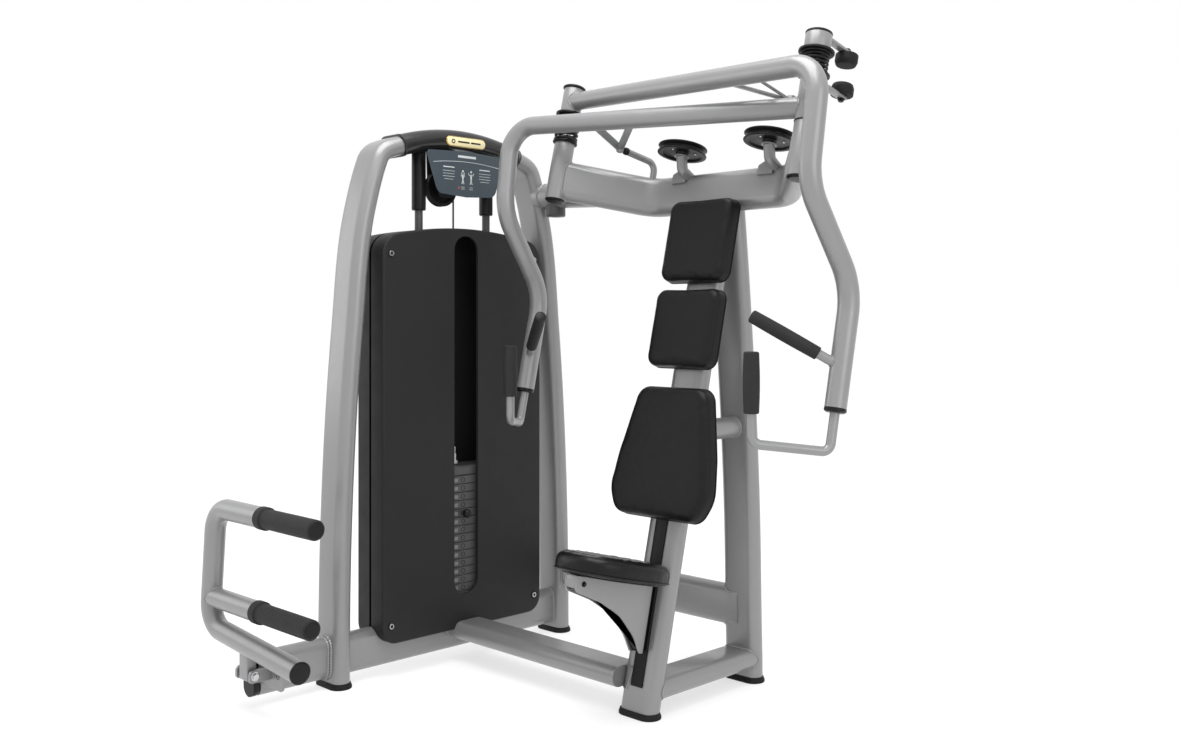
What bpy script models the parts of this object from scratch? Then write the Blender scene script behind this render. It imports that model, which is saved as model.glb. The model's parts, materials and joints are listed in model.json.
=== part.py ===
"""Chest press machine with a weight tower, a leaning back rest and two crossed overhead press arms.

Metres, +Z up. The origin is the middle of the underside of the seat column's foot. The user faces -Y,
so +Y is the back of the machine, +X the user's left, and the weight tower stands on the user's right.
"""

from math import atan, cos, pi, radians, sin, sqrt

import bmesh
import bpy
from mathutils import Matrix, Vector

# ---------------------------------------------------------------- driving dimensions
GAP = 0.0003                      # air between pieces that touch
OVAL_LONG, OVAL_SHORT = 0.060, 0.0285   # half sizes of the flat-oval frame tube, 120 x 57 mm
FOOT_HEIGHT = 0.012
LEAN = atan(0.24)                 # the column and both pivot axes lean back this much
TOWER_X = -0.805                  # plane of the weight tower
TOWER_HALF = 0.440                # half the distance between the tower's feet
TOWER_TOP = 1.628                 # centreline of the arch at its crown
CROWN_RADIUS = 0.735
BASE_Z = 0.0875                   # centre of the tube between the tower's feet
LINK_Z, REAR_TUBE_Z = 0.096, 0.070   # centres of the two floor tubes, which lie flat
REAR_Y = 0.458                    # foot of the rear post
PIVOT_X, PIVOT_B = 0.443, -0.231  # pivot axes in leaning coordinates
BEAM_S = 1.475                    # height of the pivot beam along the lean
BEAM_HALF, BEAM_BACK = 0.25, 0.0
ARM_RADIUS, HANDLE_RADIUS = 0.027, 0.012
PAD_BACK, PAD_FRONT = -0.033, -0.080
PEDAL_Y, PEDAL_RADIUS = -0.745, 0.029
PEDAL_AXIS_Z = 0.112
PLATE_PITCH, PLATES, SELECTED = 0.026, 15, 5
STACK_BOTTOM = 0.184
ROD_Y = 0.135

LEAN_ORIGIN = Vector((0.0, -0.002, 0.0))
LEAN_UP = Vector((0.0, sin(LEAN), cos(LEAN)))
LEAN_BACK = Vector((0.0, cos(LEAN), -sin(LEAN)))
X, Y, Z = Vector((1, 0, 0)), Vector((0, 1, 0)), Vector((0, 0, 1))


def lean(x, back, along):
    """A point given by x, its distance behind the column's centre plane and its place along the lean."""
    return LEAN_ORIGIN + x * X + back * LEAN_BACK + along * LEAN_UP


# ---------------------------------------------------------------- scene and materials
for old in list(bpy.data.objects):
    bpy.data.objects.remove(old, do_unlink=True)
PARTS = bpy.data.collections.new("chest_press_machine")
CUTTERS = bpy.data.collections.new("cutters")
for made in (PARTS, CUTTERS):
    bpy.context.scene.collection.children.link(made)


def finish_of(name, colour, roughness, metallic):
    material = bpy.data.materials.new(name)
    material.use_nodes = True
    shader = material.node_tree.nodes["Principled BSDF"]
    shader.inputs["Base Color"].default_value = (*colour, 1.0)
    shader.inputs["Roughness"].default_value = roughness
    shader.inputs["Metallic"].default_value = metallic
    return material


PAINT = finish_of("silver_paint", (0.36, 0.36, 0.365), 0.38, 0.55)
SHEET = finish_of("graphite_sheet", (0.030, 0.030, 0.032), 0.55, 0.0)
RUBBER = finish_of("black_rubber", (0.018, 0.018, 0.019), 0.65, 0.0)
PLASTIC = finish_of("black_plastic", (0.015, 0.015, 0.016), 0.35, 0.0)
VINYL = finish_of("black_vinyl", (0.020, 0.020, 0.021), 0.42, 0.0)
STEEL = finish_of("bright_steel", (0.55, 0.55, 0.56), 0.28, 1.0)
IRON = finish_of("black_iron", (0.060, 0.060, 0.062), 0.50, 0.6)
LABEL = finish_of("blue_grey_label", (0.045, 0.085, 0.110), 0.40, 0.0)


# ---------------------------------------------------------------- modelling helpers
def add(name, data, material, is_cutter=False):
    shape = bpy.data.objects.new(name, data)
    (CUTTERS if is_cutter else PARTS).objects.link(shape)
    if is_cutter:
        shape.hide_render = True
        shape.display_type = "WIRE"
    if material:
        data.materials.append(material)
    return shape


def placement(origin, across, up):
    """The matrix that puts local X on across, local Y on up and local Z on their normal."""
    normal = across.cross(up)
    turn = Matrix((across, up, normal)).transposed().to_4x4()
    return Matrix.Translation(origin) @ turn


def rounded(points, radii, steps=5):
    """The polyline with an arc of the given radius at each inner corner."""
    points = [Vector(point) for point in points]
    out = [points[0]]
    for before, corner, after, radius in zip(points, points[1:], points[2:], radii):
        to_before, to_after = (before - corner).normalized(), (after - corner).normalized()
        half = to_before.angle(to_after) / 2
        if radius == 0:
            out.append(corner)
            continue
        reach = radius / (sin(half) / cos(half))
        centre = corner + (to_before + to_after).normalized() * radius / sin(half)
        start, end = corner + to_before * reach, corner + to_after * reach
        sweep = (start - centre).angle(end - centre)
        for k in range(steps + 1):
            share = k / steps
            turned = (sin((1 - share) * sweep) * (start - centre) + sin(share * sweep) * (end - centre))
            out.append(centre + turned / sin(sweep))
    return out + [points[-1]]


def oval_outline(half_long, half_short, steps=5):
    """Corners of a flat oval whose long side lies along local Y."""
    straight = half_long - half_short
    corners = []
    for side, first in ((1, 0.0), (-1, pi)):
        for k in range(steps + 1):
            angle = first + pi * k / steps
            corners.append((half_short * cos(angle), side * straight + half_short * sin(angle)))
    return corners


def spline_of(curve, points, closed=False):
    spline = curve.splines.new("POLY")
    spline.points.add(len(points) - 1)
    for spot, point in zip(spline.points, points):
        spot.co = (*point, 0.0, 1.0) if len(point) == 2 else (*point, 1.0)
    spline.use_cyclic_u = closed


def mesh_from(shape, name, material, is_cutter=False):
    """Turns a curve object, with its caps welded, into a mesh object."""
    bpy.context.view_layer.update()
    graph = bpy.context.evaluated_depsgraph_get()
    mesh = bpy.data.meshes.new_from_object(shape.evaluated_get(graph))
    place = shape.matrix_world.copy()
    curve = shape.data
    bpy.data.objects.remove(shape, do_unlink=True)
    bpy.data.curves.remove(curve)
    work = bmesh.new()
    work.from_mesh(mesh)
    bmesh.ops.remove_doubles(work, verts=work.verts, dist=1e-5)
    bmesh.ops.recalc_face_normals(work, faces=work.faces)
    work.to_mesh(mesh)
    work.free()
    mesh.materials.clear()
    mesh.name = name
    solid = add(name, mesh, material, is_cutter)
    solid.matrix_world = place
    mesh.shade_smooth()
    mesh.set_sharp_from_angle(angle=radians(35))
    return solid


def oval_tube(name, path, place, long_out_of_plane, material=PAINT, grow=0.0, is_cutter=False):
    """A flat-oval tube along a path that lies in the local XY plane of the placement."""
    half_long, half_short = OVAL_LONG + grow, OVAL_SHORT + grow
    profile = bpy.data.curves.new(name + "_profile", "CURVE")
    profile.dimensions = "2D"
    outline = oval_outline(half_long, half_short)
    if not long_out_of_plane:
        outline = [(-across, along) for along, across in outline]
    spline_of(profile, outline, closed=True)
    section = add(name + "_section", profile, None, True)
    curve = bpy.data.curves.new(name, "CURVE")
    curve.dimensions = "2D"
    curve.bevel_mode = "OBJECT"
    curve.bevel_object = section
    curve.use_fill_caps = True
    spline_of(curve, path)
    shape = add(name, curve, None)
    shape.matrix_world = place
    solid = mesh_from(shape, name, material, is_cutter)
    bpy.data.objects.remove(section, do_unlink=True)
    bpy.data.curves.remove(profile)
    return solid


def round_tube(name, path, radius, material=PAINT, sides=14, grow=0.0, is_cutter=False):
    """A round tube along a path in space."""
    curve = bpy.data.curves.new(name, "CURVE")
    curve.dimensions = "3D"
    curve.bevel_depth = radius + grow
    curve.bevel_resolution = sides // 2 - 2
    curve.use_fill_caps = True
    spline_of(curve, path)
    return mesh_from(add(name, curve, None), name, material, is_cutter)


def plate(name, outline, thickness, place, material, is_cutter=False):
    """A flat outline in the local XY plane, thickened half to each side."""
    curve = bpy.data.curves.new(name, "CURVE")
    curve.dimensions = "2D"
    curve.fill_mode = "BOTH"
    curve.extrude = thickness / 2
    spline_of(curve, outline, closed=True)
    shape = add(name, curve, None)
    shape.matrix_world = place
    return mesh_from(shape, name, material, is_cutter)


def turned(name, profile, base, axis, material, steps=16, is_cutter=False):
    """A turned piece. The profile lists (radius, height) from the top of its outer side to the bottom."""
    mesh = bpy.data.meshes.new(name)
    closed = profile[0][0] > 0
    count = len(profile)
    edges = [(k, k + 1) for k in range(count - 1)] + ([(count - 1, 0)] if closed else [])
    mesh.from_pydata([(radius, 0.0, height) for radius, height in profile], edges, [])
    solid = add(name, mesh, material, is_cutter)
    screw = solid.modifiers.new("Turn", "SCREW")
    screw.axis = "Z"
    screw.steps = screw.render_steps = steps
    screw.use_merge_vertices = True
    screw.merge_threshold = 0.00001
    screw.use_smooth_shade = True
    solid.matrix_world = Matrix.Translation(base) @ axis.to_track_quat("Z", "Y").to_matrix().to_4x4()
    return solid


def rod(name, start, end, radius, material, steps=16, is_cutter=False):
    """A plain cylinder between two points."""
    start, end = Vector(start), Vector(end)
    length = (end - start).length
    profile = [(0, length), (radius, length), (radius, 0), (0, 0)]
    return turned(name, profile, start, end - start, material, steps, is_cutter)


def box(name, low, high, material, place=None, bevel=0.0, is_cutter=False):
    """A box from its two corners, in the placement's own axes."""
    low, high = Vector(low), Vector(high)
    mesh = bpy.data.meshes.new(name)
    work = bmesh.new()
    bmesh.ops.create_cube(work, size=1.0)
    for vertex in work.verts:
        vertex.co = Vector(((low[i] + high[i]) / 2 + vertex.co[i] * (high[i] - low[i])) for i in range(3))
    work.to_mesh(mesh)
    work.free()
    solid = add(name, mesh, material, is_cutter)
    if place:
        solid.matrix_world = place
    if bevel:
        edge = solid.modifiers.new("Bevel", "BEVEL")
        edge.width, edge.segments = bevel, 2
    return solid


def combine(target, other, operation, solver="EXACT"):
    """Joins another solid to the target, or takes it away, and keeps it as a hidden helper."""
    change = target.modifiers.new(operation.title(), "BOOLEAN")
    change.operation, change.object, change.solver = operation, other, solver
    return target


def join(target, *others):
    for other in others:
        combine(target, other, "UNION")
    return target


def cut(target, *others):
    for other in others:
        combine(target, other, "DIFFERENCE")
    return target


LEAN_FLOOR = placement(LEAN_ORIGIN, X, LEAN_BACK)       # local X, Y and Z are x, back and along the lean


def lean_plane(along):
    return placement(lean(0, 0, along), X, LEAN_BACK)


# ---------------------------------------------------------------- tubes of the frame
def crown(half_width, steps):
    """Points on the arch's shallow crown, from one side to the other."""
    points = []
    for k in range(steps + 1):
        y = half_width * (2 * k / steps - 1)
        points.append((y, TOWER_TOP - CROWN_RADIUS + sqrt(CROWN_RADIUS ** 2 - y ** 2)))
    return points


def arch_path():
    """Both posts of the tower and its crown, bent from one tube."""
    foot = (-TOWER_HALF, FOOT_HEIGHT + GAP)
    post = [foot, (-TOWER_HALF, 0.06), (-0.433, 0.46), (-0.396, 1.03), (-0.354, 1.38)]
    corner = (-0.3005, 1.566)
    bend = rounded([post[-1], corner, (-0.235, 1.5895)], [0.058], 6)
    left = [Vector(point) for point in post] + bend[1:-1]
    middle = [Vector(point) for point in crown(0.235, 6)]
    return left + middle + [Vector((-point.x, point.y)) for point in reversed(left)]


TOWER_PLANE = placement(Vector((TOWER_X, 0, 0)), Y, Z)   # local X is y, local Y is z
MIDDLE_PLANE = placement(Vector((0, 0, 0)), Y, Z)


def floor_plane(z):
    return placement(Vector((0, 0, z)), X, Y)


def column_y(z):
    return -0.002 + z * sin(LEAN) / cos(LEAN)


REAR_POST_PATH = [
    (REAR_Y, FOOT_HEIGHT + GAP), (REAR_Y, 0.06), (0.455, 0.17), (0.445, 0.53), (0.412, 1.0), (0.386, 1.27),
    (0.368, 1.43)
]
COLUMN_PATH = [(column_y(0.0), 0.0), (column_y(1.43), 1.43)]
BEAM_PATH = rounded(
    [(-PIVOT_X, PIVOT_B), (-BEAM_HALF, BEAM_BACK), (BEAM_HALF, BEAM_BACK), (PIVOT_X, PIVOT_B)],
    [0.10, 0.10], 5
)
UPPER_TIE_RADIUS = 0.040
UPPER_TIE = (Vector((TOWER_X, 0.335, 1.478)), Vector((0.0, 0.385, 1.445)))
BRACE_Z, BRACE_RADIUS = 0.75, 0.031
LOWER_TIE_Y, LOWER_TIE_Z = 0.449, 0.215


def frame_tube(name, grow=0.0, is_cutter=False):
    """One tube of the frame, or a copy of it grown by the gap to trim its neighbours with."""
    made = name + ("_trim" if is_cutter else "")
    settings = {"grow": grow, "is_cutter": is_cutter}
    if name == "tower_arch":
        return oval_tube(made, arch_path(), TOWER_PLANE, True, **settings)
    if name == "tower_base_tube":
        return oval_tube(made, [(-TOWER_HALF, BASE_Z), (TOWER_HALF, BASE_Z)], TOWER_PLANE, False, **settings)
    if name == "outrigger_tube":
        return oval_tube(made, [(-0.690, BASE_Z), (-TOWER_HALF, BASE_Z)], TOWER_PLANE, False, **settings)
    if name == "floor_link_tube":
        return oval_tube(made, [(TOWER_X, 0.012), (-0.045, 0.012)], floor_plane(LINK_Z), False, **settings)
    if name == "rear_floor_tube":
        path = [(column_y(REAR_TUBE_Z), REAR_TUBE_Z), (REAR_Y, REAR_TUBE_Z)]
        return oval_tube(made, path, MIDDLE_PLANE, True, **settings)
    if name == "seat_column":
        return oval_tube(made, COLUMN_PATH, MIDDLE_PLANE, True, **settings)
    if name == "rear_post":
        return oval_tube(made, REAR_POST_PATH, MIDDLE_PLANE, True, **settings)
    if name == "lower_tie":
        place = placement(Vector((0, 0, LOWER_TIE_Z)), X, Y)
        return oval_tube(made, [(TOWER_X, LOWER_TIE_Y), (0.0, LOWER_TIE_Y)], place, True, **settings)
    if name == "pivot_beam":
        return oval_tube(made, BEAM_PATH, lean_plane(BEAM_S), True, **settings)
    if name == "upper_tie":
        return round_tube(made, UPPER_TIE, UPPER_TIE_RADIUS, sides=16, **settings)
    ends = [(0, column_y(BRACE_Z), BRACE_Z), (0, 0.44, BRACE_Z)]
    return round_tube(made, ends, BRACE_RADIUS, sides=16, **settings)


TRIMS = {
    "tower_arch": (),
    "tower_base_tube": ("tower_arch",),
    "outrigger_tube": ("tower_arch",),
    "floor_link_tube": ("tower_base_tube", "seat_column"),
    "rear_floor_tube": ("seat_column", "rear_post", "floor_link_tube"),
    "seat_column": ("pivot_beam",),
    "rear_post": ("seat_column", "pivot_beam"),
    "lower_tie": ("tower_arch", "rear_post", "tower_base_tube"),
    "pivot_beam": (),
    "upper_tie": ("tower_arch", "seat_column", "rear_post", "pivot_beam"),
    "back_brace": ("seat_column", "rear_post"),
}
trims = {}
frame = {}
for tube, neighbours in TRIMS.items():
    frame[tube] = frame_tube(tube)
    for neighbour in neighbours:
        if neighbour not in trims:
            trims[neighbour] = frame_tube(neighbour, GAP, True)
        cut(frame[tube], trims[neighbour])
# The column is cut level at the bottom, where its foot takes it.
column_level = box("column_level", (-0.2, -0.2, -0.1), (0.2, 0.2, FOOT_HEIGHT + GAP), None, is_cutter=True)
cut(frame["seat_column"], column_level)


# ---------------------------------------------------------------- rubber feet
def foot(name, x, y):
    """An oval rubber foot a little larger than the tube that stands on it."""
    outline = [(along, across) for across, along in oval_outline(OVAL_LONG + 0.006, OVAL_SHORT + 0.006, 8)]
    place = placement(Vector((x, y, FOOT_HEIGHT / 2)), X, Y)
    return plate(name, outline, FOOT_HEIGHT, place, RUBBER)


foot("tower_front_foot", TOWER_X, -TOWER_HALF)
foot("tower_rear_foot", TOWER_X, TOWER_HALF)
foot("column_foot", 0.0, 0.0)
foot("rear_post_foot", 0.0, REAR_Y)

# ---------------------------------------------------------------- shrouds of the tower
SHROUD_FRONT, SHROUD_BACK, SHEET_THICKNESS = -0.738, -0.872, 0.003
SHROUD_HALF, SHROUD_LOW, SHROUD_HIGH, SHROUD_DEPTH = 0.314, 0.100, 1.312, 0.062
SLOT_HALF, SLOT_LOW, SLOT_HIGH = 0.048, 0.205, 1.327


def shroud_outline(inset):
    """A tall panel with rounded corners and a slightly arched top."""
    half, low, high = SHROUD_HALF - inset, SHROUD_LOW + inset, SHROUD_HIGH - inset
    return rounded(
        [(0, low), (half, low), (half, high), (0, high + 0.045), (-half, high), (-half, low), (0, low)],
        [0.02, 0.06, 0.9, 0.06, 0.02], 4
    )[:-1]


def shroud(name, x, inwards):
    """A sheet panel with a turned-in rim, open towards the weight stack."""
    middle = x + inwards * SHROUD_DEPTH / 2
    body = plate(name, shroud_outline(0), SHROUD_DEPTH, placement(Vector((middle, 0, 0)), Y, Z), SHEET)
    centre = middle + inwards * SHEET_THICKNESS
    hollow = plate(name + "_hollow", shroud_outline(SHEET_THICKNESS), SHROUD_DEPTH,
                   placement(Vector((centre, 0, 0)), Y, Z), None, True)
    for cutter in (hollow, trims["tower_base_tube"], link_notch, *rod_notches):
        combine(body, cutter, "DIFFERENCE", "MANIFOLD")
    return body


link_notch = box("link_notch", (TOWER_X, -0.053, 0.05), (-0.70, 0.077, 0.130), None, is_cutter=True)
rod_notches = [rod(f"rod_notch_{y}", (TOWER_X, y, 1.29), (TOWER_X, y, 1.39), 0.0155, None, 12, True)
               for y in (-ROD_Y, ROD_Y)]


front_shroud = shroud("front_shroud", SHROUD_FRONT, -1)
slot_outline = rounded(
    [(0, SLOT_LOW), (SLOT_HALF, SLOT_LOW), (SLOT_HALF, SLOT_HIGH), (-SLOT_HALF, SLOT_HIGH),
     (-SLOT_HALF, SLOT_LOW), (0, SLOT_LOW)], [0.044] * 4, 4
)[:-1]
slot_place = placement(Vector((SHROUD_FRONT, 0, 0)), Y, Z)
slot_cutter = plate("shroud_slot", slot_outline, 0.03, slot_place, None, True)
combine(front_shroud, slot_cutter, "DIFFERENCE", "MANIFOLD")
rear_shroud = shroud("rear_shroud", SHROUD_BACK, 1)

# ---------------------------------------------------------------- top cover and placard
COVER_HALF, COVER_WALL = 0.232, 0.004
cover = oval_tube("top_cover", crown(COVER_HALF, 6), TOWER_PLANE, True, PLASTIC, COVER_WALL)
cut(cover, frame_tube("tower_arch", GAP, True))
placard_outline = rounded(
    [(0, 1.592), (-0.158, 1.584), (-0.113, 1.455), (0, 1.448), (0.113, 1.455), (0.158, 1.584), (0, 1.592)],
    [0.012, 0.03, 0.4, 0.03, 0.012], 4
)[:-1]
plate("placard", placard_outline, 0.004, placement(Vector((-0.7375, 0, 0)), Y, Z), LABEL)

badge_outline = rounded(
    [(0, 1.636), (-0.078, 1.636), (-0.078, 1.604), (0.078, 1.604), (0.078, 1.636), (0, 1.636)], [0.0155] * 4, 3
)[:-1]
badge_x = TOWER_X + OVAL_LONG + COVER_WALL + 0.0018
plate("badge", badge_outline, 0.003, placement(Vector((badge_x, 0, 0)), Y, Z), LABEL)

# ---------------------------------------------------------------- weight stack
STACK_HALF_X, STACK_HALF_Y = 0.050, 0.180
STACK_TOP = STACK_BOTTOM + PLATES * PLATE_PITCH
STEM_RADIUS, ROD_RADIUS = 0.009, 0.0125


def stack_of(name, bottom, count):
    """Plates on each other, with a groove on both sides at every joint, bored for the rods and the stem."""
    top = bottom + count * PLATE_PITCH - GAP
    half, groove = STACK_HALF_Y, 0.0015
    side = [(half, bottom)]
    for k in range(1, count):
        joint = bottom + k * PLATE_PITCH
        side += [(half, joint - groove), (half - 2 * groove, joint), (half, joint + groove)]
    side.append((half, top))
    outline = side + [(-y, z) for y, z in reversed(side)]
    solid = plate(name, outline, 2 * STACK_HALF_X, TOWER_PLANE, IRON)
    for y, radius in ((-ROD_Y, 0.0155), (0.0, 0.0125), (ROD_Y, 0.0155)):
        low, high = (TOWER_X, y, bottom - 0.01), (TOWER_X, y, top + 0.01)
        cut(solid, rod(f"{name}_hole", low, high, radius, None, 12, True))
    return solid


resting = PLATES - SELECTED
stack_of("resting_plates", STACK_BOTTOM, resting)
PIN_Z = STACK_BOTTOM + (resting + 0.5) * PLATE_PITCH
selected_plates = stack_of("selected_plates", STACK_BOTTOM + resting * PLATE_PITCH, SELECTED)
PIN_RADIUS = 0.004
cut(selected_plates, rod("pin_hole", (TOWER_X, 0, PIN_Z), (TOWER_X + 0.06, 0, PIN_Z), 0.0048, None, 10, True))
TOP_PLATE_HIGH = STACK_TOP + 0.030
top_plate = box("top_plate", (TOWER_X - STACK_HALF_X, -STACK_HALF_Y, STACK_TOP),
                (TOWER_X + STACK_HALF_X, STACK_HALF_Y, TOP_PLATE_HIGH), IRON, bevel=0.004)
for y, radius in ((-ROD_Y, 0.0155), (0.0, 0.0095), (ROD_Y, 0.0155)):
    cut(top_plate, rod("top_plate_hole", (TOWER_X, y, STACK_TOP - 0.01), (TOWER_X, y, TOP_PLATE_HIGH + 0.01),
                       radius, None, 14, True))
STEM_TOP = TOP_PLATE_HIGH + 0.060
turned("selector_stem", [
    (0, STEM_TOP), (0.013, STEM_TOP), (0.013, TOP_PLATE_HIGH + GAP), (STEM_RADIUS, TOP_PLATE_HIGH + GAP),
    (STEM_RADIUS, STACK_BOTTOM + 0.006), (0, STACK_BOTTOM + 0.006)
], Vector((TOWER_X, 0, 0)), Z, STEEL, 14)
PIN_START = TOWER_X + STEM_RADIUS + 0.002
turned("selector_pin", [
    (0, 0.070), (0.011, 0.070), (0.013, 0.066), (0.013, 0.052), (0.008, 0.048), (PIN_RADIUS, 0.046),
    (PIN_RADIUS, 0), (0, 0)
], Vector((PIN_START, 0, PIN_Z)), X, PLASTIC, 14)

ROD_SLEEVE_LOW = 1.403


def guide_rod(name, y):
    """A guide rod with its bottom buffer and its top sleeve, from the base tube up into the arch."""
    arch_under = TOWER_TOP - CROWN_RADIUS + sqrt(CROWN_RADIUS ** 2 - y ** 2) - OVAL_SHORT
    low, high = BASE_Z + OVAL_LONG + 4 * GAP, arch_under - 0.016
    turned(name, [
        (0, high), (0.022, high), (0.022, ROD_SLEEVE_LOW + 0.004), (0.020, ROD_SLEEVE_LOW),
        (ROD_RADIUS, ROD_SLEEVE_LOW), (ROD_RADIUS, STACK_BOTTOM - 0.004), (0.020, STACK_BOTTOM - 0.004),
        (0.022, STACK_BOTTOM - 0.008), (0.022, low), (0, low)
    ], Vector((TOWER_X, y, 0)), Z, STEEL, 16)


guide_rod("front_guide_rod", -ROD_Y)
guide_rod("rear_guide_rod", ROD_Y)

# The top pulley's rim carries the stack's cable straight above the stem.
PULLEY_RADIUS, CABLE_RADIUS = 0.047, 0.003
TOP_PULLEY = Vector((TOWER_X, -PULLEY_RADIUS - CABLE_RADIUS, 1.477))


def sheave(name, centre, axis, radius, half_width, bore, material=PLASTIC, steps=20):
    """A grooved wheel with a bore, centred on its axle."""
    rim, groove = radius, radius - 0.010
    return turned(name, [
        (bore, half_width), (rim, half_width), (rim, half_width * 0.7), (groove, half_width * 0.25),
        (groove, -half_width * 0.25), (rim, -half_width * 0.7), (rim, -half_width), (bore, -half_width)
    ], centre, axis, material, steps)


AXLE_RADIUS = 0.008
sheave("top_pulley", TOP_PULLEY, X, PULLEY_RADIUS + 0.010, 0.011, AXLE_RADIUS + 0.0008)
hanger_top = TOWER_TOP - OVAL_SHORT - COVER_WALL - 0.006
hanger = box("pulley_hanger", (-0.030, -0.035, -0.030), (0.030, 0.035, hanger_top - TOP_PULLEY.z), SHEET,
             Matrix.Translation(TOP_PULLEY))
cut(hanger, box("hanger_gap", (-0.024, -0.1, -0.1), (0.024, 0.1, hanger_top - TOP_PULLEY.z - 0.006), None,
                Matrix.Translation(TOP_PULLEY), is_cutter=True))
join(hanger, rod("top_axle", TOP_PULLEY - 0.032 * X, TOP_PULLEY + 0.032 * X, AXLE_RADIUS, None, 14, True))
cable_top, cable_low = TOP_PULLEY.z, STEM_TOP + GAP
cable_points = [(TOWER_X, 0.0, cable_low + (cable_top - cable_low) * k / 8) for k in range(9)]
round_tube("stack_cable", cable_points, CABLE_RADIUS, IRON, sides=8)


# ---------------------------------------------------------------- pivot posts, springs and sleeves
POST_RADIUS, SPINDLE_RADIUS = 0.031, 0.014
RIGHT_AXIS, LEFT_AXIS = lean(-PIVOT_X, PIVOT_B, 0), lean(PIVOT_X, PIVOT_B, 0)
BORE = SPINDLE_RADIUS + 0.0005


def pivot_post(name, base, low, shoulder, top, head_low, head_radius):
    """A fixed post welded to the beam, with the spindle that the arm turns on and a head on top."""
    return turned(name, [
        (0, top), (head_radius, top), (head_radius, head_low), (SPINDLE_RADIUS, head_low),
        (SPINDLE_RADIUS, shoulder), (POST_RADIUS, shoulder), (POST_RADIUS, low), (0, low)
    ], base, LEAN_UP, PAINT, 20)


RIGHT_POST_TOP, LEFT_POST_TOP = 1.590, 1.548
RIGHT_SLEEVE, LEFT_SLEEVE = (1.686, 1.764), (1.5515, 1.672)
LEFT_COLLAR = (1.741, 1.795)
pivot_post("right_pivot_post", RIGHT_AXIS, 1.412, RIGHT_POST_TOP, 1.772, 1.7645, 0.030)
left_post = pivot_post("left_pivot_post", LEFT_AXIS, 1.405, LEFT_POST_TOP, LEFT_COLLAR[1], LEFT_COLLAR[0],
                       POST_RADIUS)
for side, base, low in ((-1, RIGHT_AXIS, 1.412), (1, LEFT_AXIS, 1.405)):
    cut(frame["pivot_beam"], rod(f"post_trim_{side}", base + 1.38 * LEAN_UP, base + 1.70 * LEAN_UP,
                                 POST_RADIUS + GAP, None, 20, True))


def ring(name, base, low, high, radius, material, steps=20):
    """A ring on the spindle."""
    profile = [(BORE, high), (radius, high), (radius, low), (BORE, low)]
    return turned(name, profile, base, LEAN_UP, material, steps)


ring("right_spring", RIGHT_AXIS, RIGHT_POST_TOP + 0.001, RIGHT_SLEEVE[0] - 0.001, 0.037, PLASTIC)
ring("left_spring", LEFT_AXIS, LEFT_SLEEVE[1] + 0.001, LEFT_COLLAR[0] - 0.001, 0.036, PLASTIC)
ring("left_arm_sleeve", RIGHT_AXIS, *RIGHT_SLEEVE, POST_RADIUS, PAINT)
right_arm_sleeve = ring("right_arm_sleeve", LEFT_AXIS, *LEFT_SLEEVE, POST_RADIUS, PAINT)

# Rubber stops behind the left pivot: one hangs from the fixed collar, one stands on the turning sleeve.
STOP_REACH, STOP_RADIUS, LUG_HALF = 0.133, 0.030, 0.011
stop_b = PIVOT_B + STOP_REACH


def stop_lug(name, along):
    low = (PIVOT_X - LUG_HALF, PIVOT_B + 0.018, along - 0.004)
    high = (PIVOT_X + LUG_HALF, stop_b + 0.012, along + 0.004)
    return box(name, low, high, None, LEAN_FLOOR, is_cutter=True)


join(left_post, stop_lug("collar_lug", 1.790))
join(right_arm_sleeve, stop_lug("sleeve_lug", 1.667))
turned("upper_stop", [(0, 1.7855), (STOP_RADIUS, 1.7855), (STOP_RADIUS, 1.759), (0.026, 1.755), (0, 1.755)],
       lean(PIVOT_X, stop_b, 0), LEAN_UP, RUBBER, 18)
turned("lower_stop", [(0, 1.702), (0.026, 1.702), (STOP_RADIUS, 1.698), (STOP_RADIUS, 1.6715), (0, 1.6715)],
       lean(PIVOT_X, stop_b, 0), LEAN_UP, RUBBER, 18)


# ---------------------------------------------------------------- press arms
def press_arm(side, name, root):
    """The bent arm tube of one hand: it pivots on the far side, crosses overhead and comes down outside."""
    def at(x, y, z):
        return Vector((side * x, y, z))
    outer_z = 1.678 if side > 0 else 1.651
    path = rounded(
        [root, at(0.556, 0.027, outer_z), at(0.547, -0.010, 1.390), at(0.561, 0.154, 1.145),
         at(0.559, 0.087, 0.851)], [0.085, 0.16, 0.16], 6
    )
    tube = round_tube(name, path, ARM_RADIUS, PAINT, 12)
    base = RIGHT_AXIS if side > 0 else LEFT_AXIS
    low, high = RIGHT_SLEEVE if side > 0 else LEFT_SLEEVE
    sleeve_trim = rod(name + "_trim", base + (low - 0.05) * LEAN_UP, base + (high + 0.02) * LEAN_UP,
                      POST_RADIUS + GAP, None, 20, True)
    peg = round_tube(name + "_peg", [at(0.556, 0.100, 0.957), at(0.390, -0.006, 1.070)], HANDLE_RADIUS, None,
                     10, is_cutter=True)
    return join(cut(tube, sleeve_trim), peg)


LEFT_ROOT = lean(-PIVOT_X, PIVOT_B, 1.725)
RIGHT_ROOT = lean(PIVOT_X, PIVOT_B, 1.590)
left_arm = press_arm(1, "left_arm_tube", LEFT_ROOT)
right_arm = press_arm(-1, "right_arm_tube", RIGHT_ROOT)


def rest_fork(arm, name, legs, apex):
    """Two bars welded behind the arm tube, meeting at the point that the rest hook stops."""
    for k, leg in enumerate(legs):
        bar = round_tube(f"{name}_bar_{k}", [leg, apex], 0.009, None, 8, is_cutter=True)
        join(arm, bar)


def on_arm(root, corner, x):
    share = (x - root.x) / (corner.x - root.x)
    return root.lerp(corner, share)


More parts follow.
